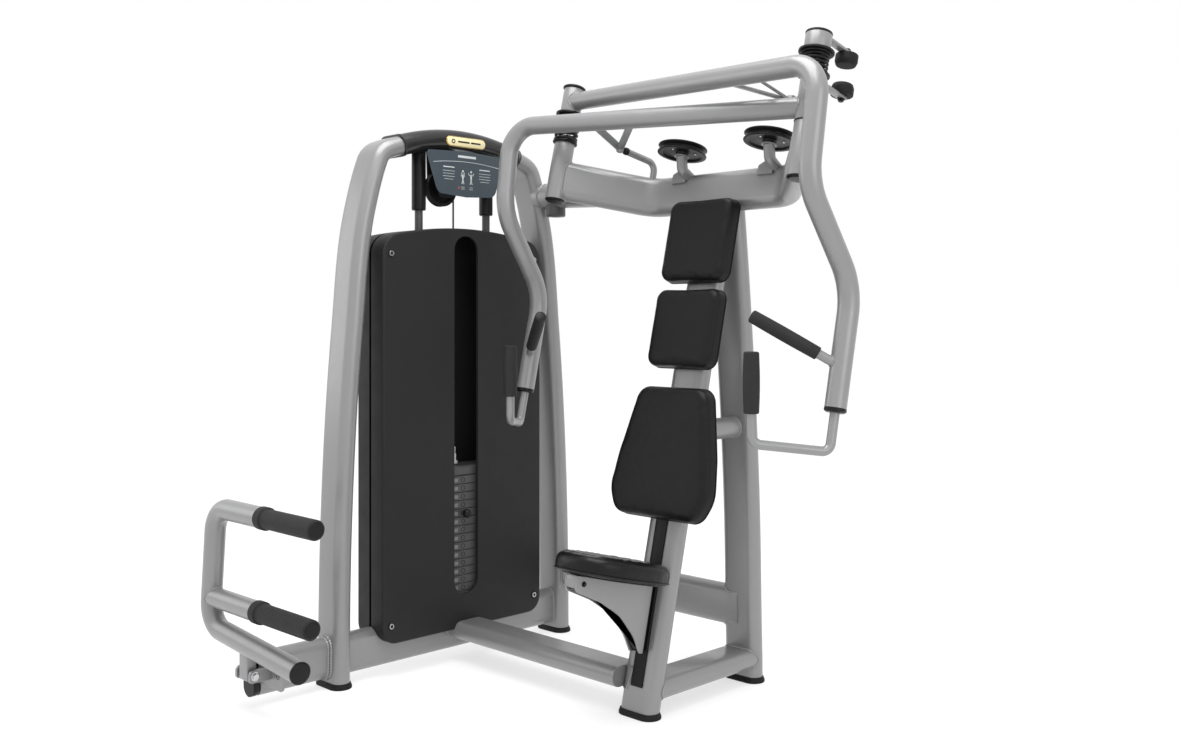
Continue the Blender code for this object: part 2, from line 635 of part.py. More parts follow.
LEFT_CORNER, RIGHT_CORNER = Vector((0.556, 0.027, 1.678)), Vector((-0.556, 0.027, 1.651))
LEFT_APEX, RIGHT_APEX = lean(0.350, -0.185, 1.638), lean(-0.262, -0.172, 1.577)
rest_fork(left_arm, "left_fork", [on_arm(LEFT_ROOT, LEFT_CORNER, x) for x in (0.19, 0.32)], LEFT_APEX)
rest_fork(right_arm, "right_fork", [on_arm(RIGHT_ROOT, RIGHT_CORNER, x) for x in (-0.10, -0.25)], RIGHT_APEX)

# Rest hooks on the beam: bent rods that the forks come to rest against.
HOOK_RADIUS = 0.010
HOOKS = (("right_hook", RIGHT_APEX, -0.250, -0.026), ("left_hook", LEFT_APEX, 0.310, -0.085))
for hook_name, apex, foot_x, foot_b in HOOKS:
    local = LEAN_FLOOR.inverted() @ apex
    path = rounded([lean(foot_x, foot_b, BEAM_S + 0.04), lean(foot_x, foot_b, local.z),
                    lean(apex.x, local.y + 0.0215, local.z)], [0.025], 4)
    join(frame["pivot_beam"], round_tube(hook_name, path, HOOK_RADIUS, None, 10, is_cutter=True))

# Cable pulleys that lie over the beam, each on a spindle welded to it.
BEAM_PULLEYS = {"right_beam_pulley": (-0.110, -0.066, 1.589), "left_beam_pulley": (0.205, -0.066, 1.592)}
for pulley_name, (pulley_x, pulley_b, pulley_s) in BEAM_PULLEYS.items():
    centre = lean(pulley_x, pulley_b, pulley_s)
    sheave(pulley_name, centre, LEAN_UP, 0.073, 0.012, AXLE_RADIUS + 0.0008)
    foot_of_spindle = lean(pulley_x, BEAM_BACK - 0.004, BEAM_S + 0.045)
    neck_top = lean(pulley_x, pulley_b, pulley_s - 0.028)
    neck = round_tube(pulley_name + "_neck", [foot_of_spindle, neck_top], 0.018, None, 12, is_cutter=True)
    axle = rod(pulley_name + "_axle", neck_top - 0.005 * LEAN_UP, centre + 0.018 * LEAN_UP, AXLE_RADIUS, None,
               14, True)
    join(frame["pivot_beam"], neck, axle)

# The boss under the upper tie that the cable leaves the tie through.
CABLE_BOSS = UPPER_TIE[0].lerp(UPPER_TIE[1], 0.14) - (UPPER_TIE_RADIUS - 0.004) * Z
boss = rod("cable_boss", CABLE_BOSS - 0.032 * Z, CABLE_BOSS, 0.032, IRON, 16)
cut(boss, frame_tube("upper_tie", GAP, True))


# ---------------------------------------------------------------- handles and grips
def grip(name, start, end, radius, belly, bore, material=RUBBER, collar=0.0):
    """A rubber grip with a blind bore, slightly thicker in the middle, pushed on from its end."""
    start, end = Vector(start), Vector(end)
    length = (end - start).length
    first = (radius + collar, 0.028) if collar else (radius, 0.004)
    profile = [(0, length), (radius * 0.78, length), (radius, length - 0.005), (belly, length / 2),
               (radius, first[1] + 0.004), (first[0], first[1]), (first[0], 0), (bore, 0),
               (bore, length - 0.008), (0, length - 0.008)]
    return turned(name, profile, start, end - start, material, 18)


def u_handle(side, name):
    """The thin tube that comes out of the arm's lower end, turns inwards and rises into the upright grip."""
    def at(x, y, z):
        return Vector((side * x, y, z))
    arm_down = (at(0.559, 0.087, 0.851) - at(0.561, 0.154, 1.145)).normalized()
    top = at(0.559, 0.087, 0.851) + arm_down * 0.0005
    path = rounded([top, top + arm_down * 0.105, at(0.4355, -0.082, 0.770), at(0.4355, -0.082, 0.978)],
                   [0.022, 0.026], 4)
    return round_tube(name, path, HANDLE_RADIUS, PAINT, 12)


for side, word in ((1, "left"), (-1, "right")):
    u_handle(side, word + "_u_handle")
    grip(word + "_upright_grip", (side * 0.4355, -0.082, 0.842), (side * 0.4355, -0.082, 0.990), 0.0185,
         0.0205, HANDLE_RADIUS + 0.0004)
    grip_root, grip_tip = Vector((side * 0.556, 0.100, 0.957)), Vector((side * 0.390, -0.006, 1.070))
    axis = (grip_tip - grip_root).normalized()
    grip(word + "_angled_grip", grip_root + axis * 0.052, grip_tip + axis * 0.012, 0.0165, 0.0175,
         HANDLE_RADIUS + 0.0004)


# ---------------------------------------------------------------- back pads and seat
def pad(name, outline, low, high):
    """A plain cushion standing on the column: an outline in x and the lean, with a block behind it."""
    place = placement(LEAN_ORIGIN + (PAD_BACK + PAD_FRONT) / 2 * LEAN_BACK, X, LEAN_UP)
    body = plate(name, outline, PAD_BACK - PAD_FRONT, place, VINYL)
    block = box(name + "_block", (-0.040, PAD_BACK - 0.002, low), (0.040, -OVAL_SHORT - GAP, high), None,
                LEAN_FLOOR, is_cutter=True)
    return join(body, block)


SQUARE_HALF, CORNER = 0.122, 0.036
for pad_name, low, high in (("head_pad", 1.188, 1.438), ("upper_back_pad", 0.940, 1.174)):
    square = [(0, high), (SQUARE_HALF, high), (SQUARE_HALF, low), (-SQUARE_HALF, low), (-SQUARE_HALF, high),
              (0, high)]
    pad(pad_name, rounded(square, [CORNER] * 4, 5)[:-1], low + 0.05, high - 0.06)
lumbar_half = [(0.128, 0.894), (0.172, 0.700), (0.186, 0.590), (0.150, 0.520)]
lumbar = [(0, 0.894)] + lumbar_half + [(-x, along) for x, along in reversed(lumbar_half)] + [(0, 0.894)]
pad("lumbar_pad", rounded(lumbar, [0.05, 0.25, 0.10, 0.05, 0.05, 0.10, 0.25, 0.05], 4)[:-1], 0.60, 0.84)

SEAT_B, SEAT_HALF_WIDTH, SEAT_HALF_DEPTH = -0.200, 0.128, 0.162
SEAT_LOW, SEAT_HIGH = 0.352, 0.408


def seat_outline(count=36):
    """An egg-shaped plan, a little broader at the back, from a superellipse."""
    points = []
    for k in range(count):
        angle = 2 * pi * k / count
        c, s = cos(angle), sin(angle)
        across = abs(c) ** (2 / 2.6) * (1 if c > 0 else -1)
        deep = abs(s) ** (2 / 2.6) * (1 if s > 0 else -1)
        points.append((across * SEAT_HALF_WIDTH * (1 + 0.06 * deep), SEAT_B + deep * SEAT_HALF_DEPTH))
    return points


plate("seat_pad", seat_outline(), SEAT_HIGH - SEAT_LOW, lean_plane((SEAT_LOW + SEAT_HIGH) / 2), VINYL)
TRACK_BACK, TRACK_FRONT = -OVAL_SHORT - GAP, -OVAL_SHORT - 0.004
BRACKET_PLANE = placement(LEAN_ORIGIN, LEAN_BACK, LEAN_UP)
bracket_back, bracket_top = TRACK_FRONT - 0.0165, SEAT_LOW - GAP
bracket_outline = rounded(
    [(-0.200, bracket_top), (-0.346, bracket_top), (-0.346, 0.308), (-0.245, 0.288), (-0.162, 0.258),
     (-0.096, 0.208), (-0.062, 0.165), (bracket_back, 0.165), (bracket_back, bracket_top), (-0.200, bracket_top)],
    [0.003, 0.024, 0.12, 0.12, 0.12, 0.004, 0.003, 0.003], 3
)[:-1]
plate("seat_bracket", bracket_outline, 0.040, BRACKET_PLANE, PAINT)
box("seat_carriage", (-0.021, bracket_back + GAP, 0.170), (0.021, TRACK_FRONT - GAP, 0.345), PLASTIC,
    LEAN_FLOOR, bevel=0.003)
box("seat_track", (-0.0205, TRACK_FRONT, 0.075), (0.0205, TRACK_BACK, 0.585), PLASTIC, LEAN_FLOOR)

# ---------------------------------------------------------------- foot pedal beside the tower
TOP_BAR_Z, MID_BAR_Z = 0.540, 0.287
LEVER_X_TOP, LEVER_X_LOW = -0.925, -0.962
TOP_GRIP, MID_GRIP = (-0.675, -0.410), (-0.700, -0.429)


def pedal_point(x, z):
    return Vector((x, PEDAL_Y, z))


pedal_path = rounded(
    [pedal_point(TOP_GRIP[0], TOP_BAR_Z), pedal_point(LEVER_X_TOP, TOP_BAR_Z), pedal_point(LEVER_X_LOW, 0.206),
     pedal_point(-0.486, 0.168)], [0.075, 0.070], 6
)
pedal = round_tube("pedal_lever", pedal_path, PEDAL_RADIUS, PAINT, 12)
mid_bar = [pedal_point(-0.949, MID_BAR_Z), pedal_point(MID_GRIP[0], MID_BAR_Z)]
join(pedal, round_tube("pedal_mid_bar", mid_bar, PEDAL_RADIUS - 0.001, None, 14, is_cutter=True))
SPIGOT_RADIUS = 0.017
PEDAL_GRIPS = (("pedal_upper_grip", TOP_GRIP, TOP_BAR_Z), ("pedal_lower_grip", MID_GRIP, MID_BAR_Z))
for grip_name, (start, end), z in PEDAL_GRIPS:
    spigot = rod(grip_name + "_spigot", pedal_point(start - 0.01, z), pedal_point(end - 0.012, z), SPIGOT_RADIUS,
                 None, 14, True)
    join(pedal, spigot)
    grip(grip_name, pedal_point(start + GAP, z), pedal_point(end, z), 0.0265, 0.0268, SPIGOT_RADIUS + 0.0004,
         collar=0.0045)
LUG_X = (-0.772, -0.728)
lug = box("pedal_lug", (LUG_X[0], PEDAL_Y - 0.014, PEDAL_AXIS_Z - 0.016),
          (LUG_X[1], PEDAL_Y + 0.014, 0.180), None, is_cutter=True)
join(pedal, lug)
pedal_pin_middle = Vector(((LUG_X[0] + LUG_X[1]) / 2, PEDAL_Y, PEDAL_AXIS_Z))
cut(pedal, rod("pedal_bore", pedal_pin_middle - 0.1 * X, pedal_pin_middle + 0.1 * X, 0.0088, None, 14, True))
bracket = box("pedal_bracket", (-0.848, -0.6985, 0.070), (-0.652, -0.6905, 0.146), PAINT, bevel=0.002)
for low, high in ((-0.790, -0.780), (-0.720, -0.710)):
    ear = box("pedal_ear", (low, PEDAL_Y - 0.016, PEDAL_AXIS_Z - 0.018),
              (high, -0.694, PEDAL_AXIS_Z + 0.016), None, is_cutter=True)
    join(bracket, ear)
pedal_pin = rod("pedal_pin", pedal_pin_middle - 0.045 * X, pedal_pin_middle + 0.045 * X, 0.008, None, 14, True)
join(bracket, pedal_pin)
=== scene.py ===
"""Looks of a chest press machine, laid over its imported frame.

Metres, +Z up. The user faces -Y, the weight tower stands at -X, and the origin is under the seat column's foot.
"""

import json
import math

import bpy
import numpy as np
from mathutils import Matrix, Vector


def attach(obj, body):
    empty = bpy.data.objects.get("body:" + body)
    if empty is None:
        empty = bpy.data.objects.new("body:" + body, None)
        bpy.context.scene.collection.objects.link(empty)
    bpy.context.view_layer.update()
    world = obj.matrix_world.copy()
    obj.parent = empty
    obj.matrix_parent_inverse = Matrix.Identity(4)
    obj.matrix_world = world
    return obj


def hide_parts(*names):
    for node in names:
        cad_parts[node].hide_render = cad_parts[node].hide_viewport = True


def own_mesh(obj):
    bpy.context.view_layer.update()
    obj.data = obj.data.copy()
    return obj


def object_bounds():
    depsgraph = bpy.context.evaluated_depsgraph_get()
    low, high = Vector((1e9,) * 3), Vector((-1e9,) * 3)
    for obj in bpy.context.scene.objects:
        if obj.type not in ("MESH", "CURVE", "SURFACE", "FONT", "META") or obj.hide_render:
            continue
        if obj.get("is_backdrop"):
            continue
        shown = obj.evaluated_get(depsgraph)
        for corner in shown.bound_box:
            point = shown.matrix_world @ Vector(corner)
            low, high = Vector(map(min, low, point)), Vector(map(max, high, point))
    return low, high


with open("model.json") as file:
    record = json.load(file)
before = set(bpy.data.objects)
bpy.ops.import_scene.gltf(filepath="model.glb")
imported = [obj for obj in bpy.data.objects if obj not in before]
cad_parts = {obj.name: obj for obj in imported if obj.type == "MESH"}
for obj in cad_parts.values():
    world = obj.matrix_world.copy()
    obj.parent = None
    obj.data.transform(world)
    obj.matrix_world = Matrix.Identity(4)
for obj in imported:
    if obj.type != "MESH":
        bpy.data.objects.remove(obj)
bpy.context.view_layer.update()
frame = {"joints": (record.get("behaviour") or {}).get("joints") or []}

# ---------------------------------------------------------------- camera, floor and light
# A level camera at chest height looks at the machine from its front left corner. The floor and the
# air around it are white, and three large soft boxes light it from above and from both sides.
scene = bpy.context.scene
lens = bpy.data.cameras.new("camera")
lens.lens, lens.sensor_width, lens.shift_y = 35.85, 36.0, -0.0466
lens.clip_start, lens.clip_end = 0.05, 60.0
camera = bpy.data.objects.new("camera", lens)
camera.location = (2.143, -2.333, 1.07)
camera.rotation_euler = (math.radians(90), 0.0, math.radians(45))
scene.collection.objects.link(camera)
scene.camera = camera
scene.view_settings.view_transform = "Standard"

world = bpy.data.worlds.new("studio")
world.use_nodes = True
world.node_tree.nodes["Background"].inputs["Color"].default_value = (1.0, 1.0, 1.0, 1.0)
world.node_tree.nodes["Background"].inputs["Strength"].default_value = 1.0
scene.world = world

floor_paint = bpy.data.materials.new("studio_floor")
floor_paint.use_nodes = True
floor_shader = floor_paint.node_tree.nodes["Principled BSDF"]
floor_shader.inputs["Base Color"].default_value = (0.45, 0.45, 0.45, 1.0)
floor_shader.inputs["Roughness"].default_value = 1.0
floor_shader.inputs["Specular IOR Level"].default_value = 0.0
floor_shader.inputs["Emission Color"].default_value = (1.0, 1.0, 1.0, 1.0)
floor_shader.inputs["Emission Strength"].default_value = 0.60
floor_mesh = bpy.data.meshes.new("studio_floor")
floor_mesh.from_pydata([(-30, -30, 0), (30, -30, 0), (30, 30, 0), (-30, 30, 0)], [], [(0, 1, 2, 3)])
floor_mesh.materials.append(floor_paint)
floor = bpy.data.objects.new("studio_floor", floor_mesh)
scene.collection.objects.link(floor)
floor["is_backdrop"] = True

LIGHTS = {
    "soft_box_above": ((0.2, -0.6, 3.6), (0.0, 0.0, 0.9), 2.4, 84.0),
    "soft_box_left": ((3.2, -0.6, 2.0), (-0.1, 0.0, 0.9), 1.8, 16.0),
    "soft_box_right": ((-3.2, -2.2, 1.7), (-0.3, 0.0, 0.9), 1.8, 12.0),
}
for light_name, (spot, target, width, power) in LIGHTS.items():
    lamp = bpy.data.lights.new(light_name, "AREA")
    lamp.size, lamp.energy = width, power
    light = bpy.data.objects.new(light_name, lamp)
    light.location = spot
    aim = Vector(target) - Vector(spot)
    light.rotation_euler = aim.to_track_quat("-Z", "Y").to_euler()
    scene.collection.objects.link(light)

# ---------------------------------------------------------------- tubes of the frame
# Bent and straight steel tube, mostly a flat oval of 120 x 57 mm, welded into one frame and
# powder coated in satin silver grey. Each tube runs on inside the one that it is welded to.


def unit(vector):
    """A vector, or each row of an array, at length one."""
    vector = np.asarray(vector, float)
    return vector / np.linalg.norm(vector, axis=-1, keepdims=True)


def bent_line(points, radii, turn=math.radians(6)):
    """Straight runs with an arc at each inner corner.

    The arc's centre lies on the corner's bisector, its radius over the sine of half the corner away, and its
    points turn evenly from one tangent point to the other. An arc takes less than half of the shorter run.
    """
    points = [np.asarray(point, float) for point in points]
    runs = [points[:1]]
    for before, corner, after, radius in zip(points, points[1:], points[2:], radii):
        back, on = unit(before - corner), unit(after - corner)
        half = math.acos(np.clip(back @ on, -1.0, 1.0)) / 2
        sweep = math.pi - 2 * half
        if sweep < 0.01 or radius == 0:
            runs.append([corner])
            continue
        longest = 0.49 * min(np.linalg.norm(before - corner), np.linalg.norm(after - corner))
        reach = min(radius / math.tan(half), longest)
        radius = reach * math.tan(half)
        centre = corner + unit(back + on) * radius / math.sin(half)
        start, end = corner + back * reach - centre, corner + on * reach - centre
        share = np.linspace(0, 1, max(2, math.ceil(sweep / turn)) + 1)[:, None]
        spoke = np.sin((1 - share) * sweep) * start + np.sin(share * sweep) * end
        runs.append(centre + spoke / math.sin(sweep))
    return np.concatenate([np.asarray(run) for run in runs + [points[-1:]]])


def smooth_line(points, spacing=0.02):
    """A curve through the points: a cubic on each stretch, with the slope at a point from its neighbours."""
    points = np.asarray(points, float)
    length = np.append(0, np.cumsum(np.linalg.norm(np.diff(points, axis=0), axis=1)))
    slope = np.gradient(points, length, axis=0)
    at = np.linspace(0, length[-1], int(length[-1] / spacing) + 2)
    k = np.clip(np.searchsorted(length, at, "right") - 1, 0, len(points) - 2)
    span = (length[k + 1] - length[k])[:, None]
    s = (at[:, None] - length[k][:, None]) / span
    start = (2 * s ** 3 - 3 * s ** 2 + 1) * points[k] + (s ** 3 - 2 * s ** 2 + s) * span * slope[k]
    return start + (3 * s ** 2 - 2 * s ** 3) * points[k + 1] + (s ** 3 - s ** 2) * span * slope[k + 1]


def oval(long, short, count=14):
    """A flat oval outline: two half circles joined by straight sides, its long way along the second number."""
    angle = np.linspace(0, math.pi, count + 1)
    cap = np.stack([short * np.cos(angle), long - short + short * np.sin(angle)], -1)
    return np.vstack([cap, -cap])


def circle(radius, count=36):
    """A round outline: the radius times cosine and sine of even steps."""
    angle = np.arange(count) * 2 * math.pi / count
    return radius * np.stack([np.cos(angle), np.sin(angle)], -1)


def quarter(outline):
    """An outline turned a quarter turn."""
    return np.stack([-outline[:, 1], outline[:, 0]], -1)


def carry(outline, path, up, loop=False):
    """An outline carried along a path: its first number goes across the path and its second along up."""
    path, outline = np.asarray(path, float), np.asarray(outline, float)
    if loop:
        steps = np.roll(path, -1, 0) - np.roll(path, 1, 0)
    else:
        legs = unit(np.diff(path, axis=0))
        steps = np.vstack([legs[:1], legs[:-1] + legs[1:], legs[-1:]])
    ahead = unit(steps)
    up = np.broadcast_to(np.asarray(up, float), path.shape)
    rise = unit(up - (up * ahead).sum(-1, keepdims=True) * ahead)
    across = np.cross(rise, ahead)
    return path[:, None] + outline[..., :1] * across[:, None] + outline[..., 1:] * rise[:, None]


def skin(grid, loop=False):
    """Points, side faces and end faces of a grid whose rows are rings, with flat caps or joined in a loop."""
    rows, columns = grid.shape[:2]
    number = np.arange(rows * columns).reshape(rows, columns)
    ends = [] if loop else [number[0][::-1].tolist(), number[-1].tolist()]
    if loop:
        number = np.vstack([number, number[:1]])
    right = np.roll(number, -1, axis=1)
    quads = np.stack([number[:-1], right[:-1], right[1:], number[1:]], -1).reshape(-1, 4)
    return grid.reshape(-1, 3), quads, ends


def tube(outline, path, up, edge=0.0012):
    """An outline carried along a path, with the edges of both ends taken off."""
    path = np.asarray(path, float)
    first, last = unit(path[1] - path[0]) * edge, unit(path[-1] - path[-2]) * edge
    path = np.vstack([path[:1], path[:1] + first, path[1:-1], path[-1:] - last, path[-1:]])
    size = np.ones((len(path), 1, 1))
    size[[0, -1]] -= edge / np.abs(outline).max()
    return skin(carry(outline * size, path, up))


def make(name, surfaces, finish, *replaced, body="frame", slot=None):
    """One piece made of closed surfaces: it rides on a body and may stand for CAD nodes; its slot is not used.
    """
    points, faces, first = [], [], 0
    for spots, quads, ends in surfaces:
        points.append(spots)
        faces += (quads + first).tolist() + [(np.array(end) + first).tolist() for end in ends]
        first += len(spots)
    mesh = bpy.data.meshes.new(name)
    mesh.from_pydata(np.concatenate(points).tolist(), [], faces)
    mesh.materials.append(finish)
    mesh.shade_smooth()
    mesh.set_sharp_from_angle(angle=math.radians(32))
    piece = bpy.data.objects.new(name, mesh)
    scene.collection.objects.link(piece)
    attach(piece, body)
    if replaced:
        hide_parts(*replaced)
    return piece


def coating(name, colour, roughness, drift=0.08, patch=7.0, grain=900.0, relief=0.08, cells=False, slot=None,
            **fixed):
    """A finish: its colour and roughness wander over patches, with a fine grain in relief. Its slot is not
    used.
    """
    finish = bpy.data.materials.new(name)
    finish.use_nodes = True
    nodes, links = finish.node_tree.nodes, finish.node_tree.links
    shader = nodes["Principled BSDF"]
    place = nodes.new("ShaderNodeTexCoord")

    def noise(scale, detail):
        made = nodes.new("ShaderNodeTexNoise")
        made.inputs["Scale"].default_value, made.inputs["Detail"].default_value = scale, detail
        links.new(place.outputs["Object"], made.inputs["Vector"])
        return made.outputs["Fac"]

    tone = nodes.new("ShaderNodeMix")
    tone.data_type = "RGBA"
    tone.inputs["A"].default_value = (*[part * (1 - drift) for part in colour], 1.0)
    tone.inputs["B"].default_value = (*[part * (1 + drift) for part in colour], 1.0)
    links.new(noise(patch, 5.0), tone.inputs["Factor"])
    links.new(tone.outputs["Result"], shader.inputs["Base Color"])
    gloss = nodes.new("ShaderNodeMapRange")
    gloss.inputs["From Min"].default_value, gloss.inputs["From Max"].default_value = 0.3, 0.7
    gloss.inputs["To Min"].default_value = roughness * 0.9
    gloss.inputs["To Max"].default_value = roughness * 1.1
    links.new(noise(patch * 6, 3.0), gloss.inputs["Value"])
    links.new(gloss.outputs["Result"], shader.inputs["Roughness"])
    bump = nodes.new("ShaderNodeBump")
    bump.inputs["Strength"].default_value, bump.inputs["Distance"].default_value = relief, 0.0004
    height = noise(grain, 2.0)
    if cells:
        pebble = nodes.new("ShaderNodeTexVoronoi")
        pebble.feature = "SMOOTH_F1"
        pebble.inputs["Scale"].default_value = grain * 0.6
        links.new(place.outputs["Object"], pebble.inputs["Vector"])
        height = pebble.outputs["Distance"]
    links.new(height, bump.inputs["Height"])
    links.new(bump.outputs["Normal"], shader.inputs["Normal"])
    for socket, value in fixed.items():
        shader.inputs[socket.replace("_", " ")].default_value = value
    return finish


X, Y, Z = np.eye(3)
joints = {joint["name"]: joint for joint in frame["joints"]}
LEAN_UP = unit(joints["right_arm_press"]["axis"])
LEAN_BACK = np.cross(LEAN_UP, X)
LEAN_ORIGIN = np.array([0.0, -0.002, 0.0])
OVAL_LONG, OVAL_SHORT = 0.060, 0.0285
TOWER_X, TOWER_HALF, TOWER_TOP, CROWN_RADIUS = -0.805, 0.440, 1.628, 0.735
FOOT_HEIGHT = 0.012
REAR_Y = 0.458
silver_paint = coating("silver_paint", (0.245, 0.245, 0.249), 0.34, drift=0.035, grain=420.0, relief=0.05,
                       Metallic=0.35, Coat_Weight=0.18, Coat_Roughness=0.22)


def lean(x, back, along):
    """A point from x, its distance behind the column's centre plane and its place along the lean."""
    return LEAN_ORIGIN + x * X + back * LEAN_BACK + along * LEAN_UP


def crown(start, end, count):
    """Points (y, z) on the arch's shallow crown: a circle of its radius under the tower's top."""
    y = np.linspace(start, end, count)
    return np.stack([y, TOWER_TOP - CROWN_RADIUS + np.sqrt(CROWN_RADIUS ** 2 - y ** 2)], -1)


def in_tower(flat):
    """Points (y, z) put in the tower's plane."""
    return np.insert(np.asarray(flat, float), 0, TOWER_X, axis=1)


flat_oval = oval(OVAL_LONG, OVAL_SHORT)
post = [(-TOWER_HALF, FOOT_HEIGHT), (-TOWER_HALF, 0.06), (-0.433, 0.46), (-0.396, 1.03), (-0.354, 1.38)]
shoulder = bent_line([post[-1], (-0.3005, 1.566), (-0.235, 1.5895)], [0.058], math.radians(12))[1:-1]
side_of_arch = np.vstack([post, shoulder])
arch_points = np.vstack([side_of_arch, crown(-0.235, 0.235, 9), side_of_arch[::-1] * (-1, 1)])
arch_line = smooth_line(arch_points, 0.012)

OUTRIGGER_END, BASE_Z, REAR_TUBE_Z = -0.690, 0.0875, 0.070
LINK_Y, LINK_Z, TIE_Y, TIE_Z = 0.012, 0.096, 0.449, 0.215
side_oval = quarter(flat_oval)
REAR_LINE = [(REAR_Y, FOOT_HEIGHT), (REAR_Y, 0.06), (0.455, 0.17), (0.445, 0.53), (0.412, 1.0), (0.386, 1.27),
             (0.368, 1.43)]
rear_path = np.insert(smooth_line(REAR_LINE, 0.03), 0, 0.0, axis=1)

# The leaning column is cut level at the floor, so its outline is the tube's own, stretched along Y.
column_heights = np.array([FOOT_HEIGHT, FOOT_HEIGHT + 0.001, 0.4, 0.8, 1.2, 1.43])
column_size = np.array([0.985, 1, 1, 1, 1, 1])[:, None]
column_plan = quarter(flat_oval)[None] * column_size[..., None]
column_y = LEAN_ORIGIN[1] + column_heights * LEAN_UP[1] / LEAN_UP[2]
column_grid = np.stack(np.broadcast_arrays(
    column_plan[..., 0], column_y[:, None] + column_plan[..., 1] / LEAN_UP[2], column_heights[:, None]), -1)
make("column_tube", [skin(column_grid)], silver_paint, "seat_column")

PIVOT_X, PIVOT_B, BEAM_S, BEAM_HALF = 0.443, -0.231, 1.475, 0.25
beam_corners = [lean(-PIVOT_X, PIVOT_B, BEAM_S), lean(-BEAM_HALF, 0, BEAM_S), lean(BEAM_HALF, 0, BEAM_S),
                lean(PIVOT_X, PIVOT_B, BEAM_S)]

TIE_RADIUS, BRACE_RADIUS, BRACE_Z = 0.040, 0.031, 0.75
UPPER_TIE = np.array([(TOWER_X, 0.335, 1.478), (0.0, 0.385, 1.445)])
tie_way = UPPER_TIE[1] - UPPER_TIE[0]
base_front = np.array([TOWER_X, -TOWER_HALF, BASE_Z])
TUBES = {
    "arch_tube": ("tower_arch", flat_oval, X, in_tower(arch_line)),
    "base_tube": ("tower_base_tube", side_oval, X, [base_front, base_front * (1, -1, 1)]),
    "outrigger": ("outrigger_tube", side_oval, X, [(TOWER_X, OUTRIGGER_END, BASE_Z), base_front]),
    "link_tube": ("floor_link_tube", side_oval, Z, [(TOWER_X, LINK_Y, LINK_Z), (-0.057, LINK_Y, LINK_Z)]),
    "rear_tube": ("rear_floor_tube", flat_oval, X, [(0, 0.02, REAR_TUBE_Z), (0, REAR_Y, REAR_TUBE_Z)]),
    "low_tie": ("lower_tie", flat_oval, Z, [(TOWER_X, TIE_Y, TIE_Z), (0, TIE_Y, TIE_Z)]),
    "rear_post_tube": ("rear_post", flat_oval, X, rear_path),
    "beam_tube": ("pivot_beam", flat_oval, LEAN_UP, bent_line(beam_corners, [0.10, 0.10])),
    "high_tie": ("upper_tie", circle(TIE_RADIUS, 48), Z, [UPPER_TIE[0] + 0.042 * tie_way, UPPER_TIE[1]]),
    "brace_tube": ("back_brace", circle(BRACE_RADIUS, 44), Z, [(0, 0.185, BRACE_Z), (0, 0.43, BRACE_Z)]),
}
for piece_name, (node, outline, up, line) in TUBES.items():
    make(piece_name, [tube(outline, line, up)], silver_paint, node)

# ---------------------------------------------------------------- weld seams
# A bead of weld closes every joint between two tubes and is coated over with the frame. Its line is
# where the lines along one tube meet the skin of the other, and it swells a little at each ripple.
ARM_RADIUS, POST_RADIUS, BEAD = 0.027, 0.031, 0.0034


def even_loop(points, count):
    """A closed line of straight pieces divided into equal steps along its length."""
    closed = np.vstack([points, points[:1]])
    length = np.append(0, np.cumsum(np.linalg.norm(np.diff(closed, axis=0), axis=1)))
    at = np.linspace(0, length[-1], count, endpoint=False)
    return np.stack([np.interp(at, length, closed[:, k]) for k in range(3)], -1)


def bead(outline, start, ahead, up, host, width=BEAD, count=120):
    """The seam of a tube running ahead into its host: (point, axis, wide way, half strip, radius).

    Each point of the tube's outline moves ahead by its distance from the host's skin until none is left. The
    points whose line passes the host by are left out.
    """
    start, ahead = np.asarray(start, float), unit(ahead)
    ring = even_loop(carry(outline, [start, start + ahead], up)[0], count)
    point, axis, wide, strip, radius = host
    axis, wide = unit(axis), unit(wide)
    for _ in range(60):
        offset = ring - point
        offset = offset - (offset @ axis)[:, None] * axis
        aside = np.clip(offset @ wide, -strip, strip)[:, None] * wide
        gap = np.linalg.norm(offset - aside, axis=1) - radius
        ring = ring + np.clip(gap, -0.02, 0.02)[:, None] * ahead
    ring = ring[np.abs(gap) < 0.0004]
    ripple = 1 + 0.14 * np.sin(np.arange(len(ring)) * 2 * math.pi / 3)
    return skin(carry(circle(width, 8) * ripple[:, None, None], ring, ahead, loop=True), loop=True)


def oval_host(point, axis, wide=X, proud=0.0):
    """The skin of a flat oval tube, as bead() takes it, a little proud where the tube curves."""
    return point, axis, wide, OVAL_LONG - OVAL_SHORT, OVAL_SHORT + proud


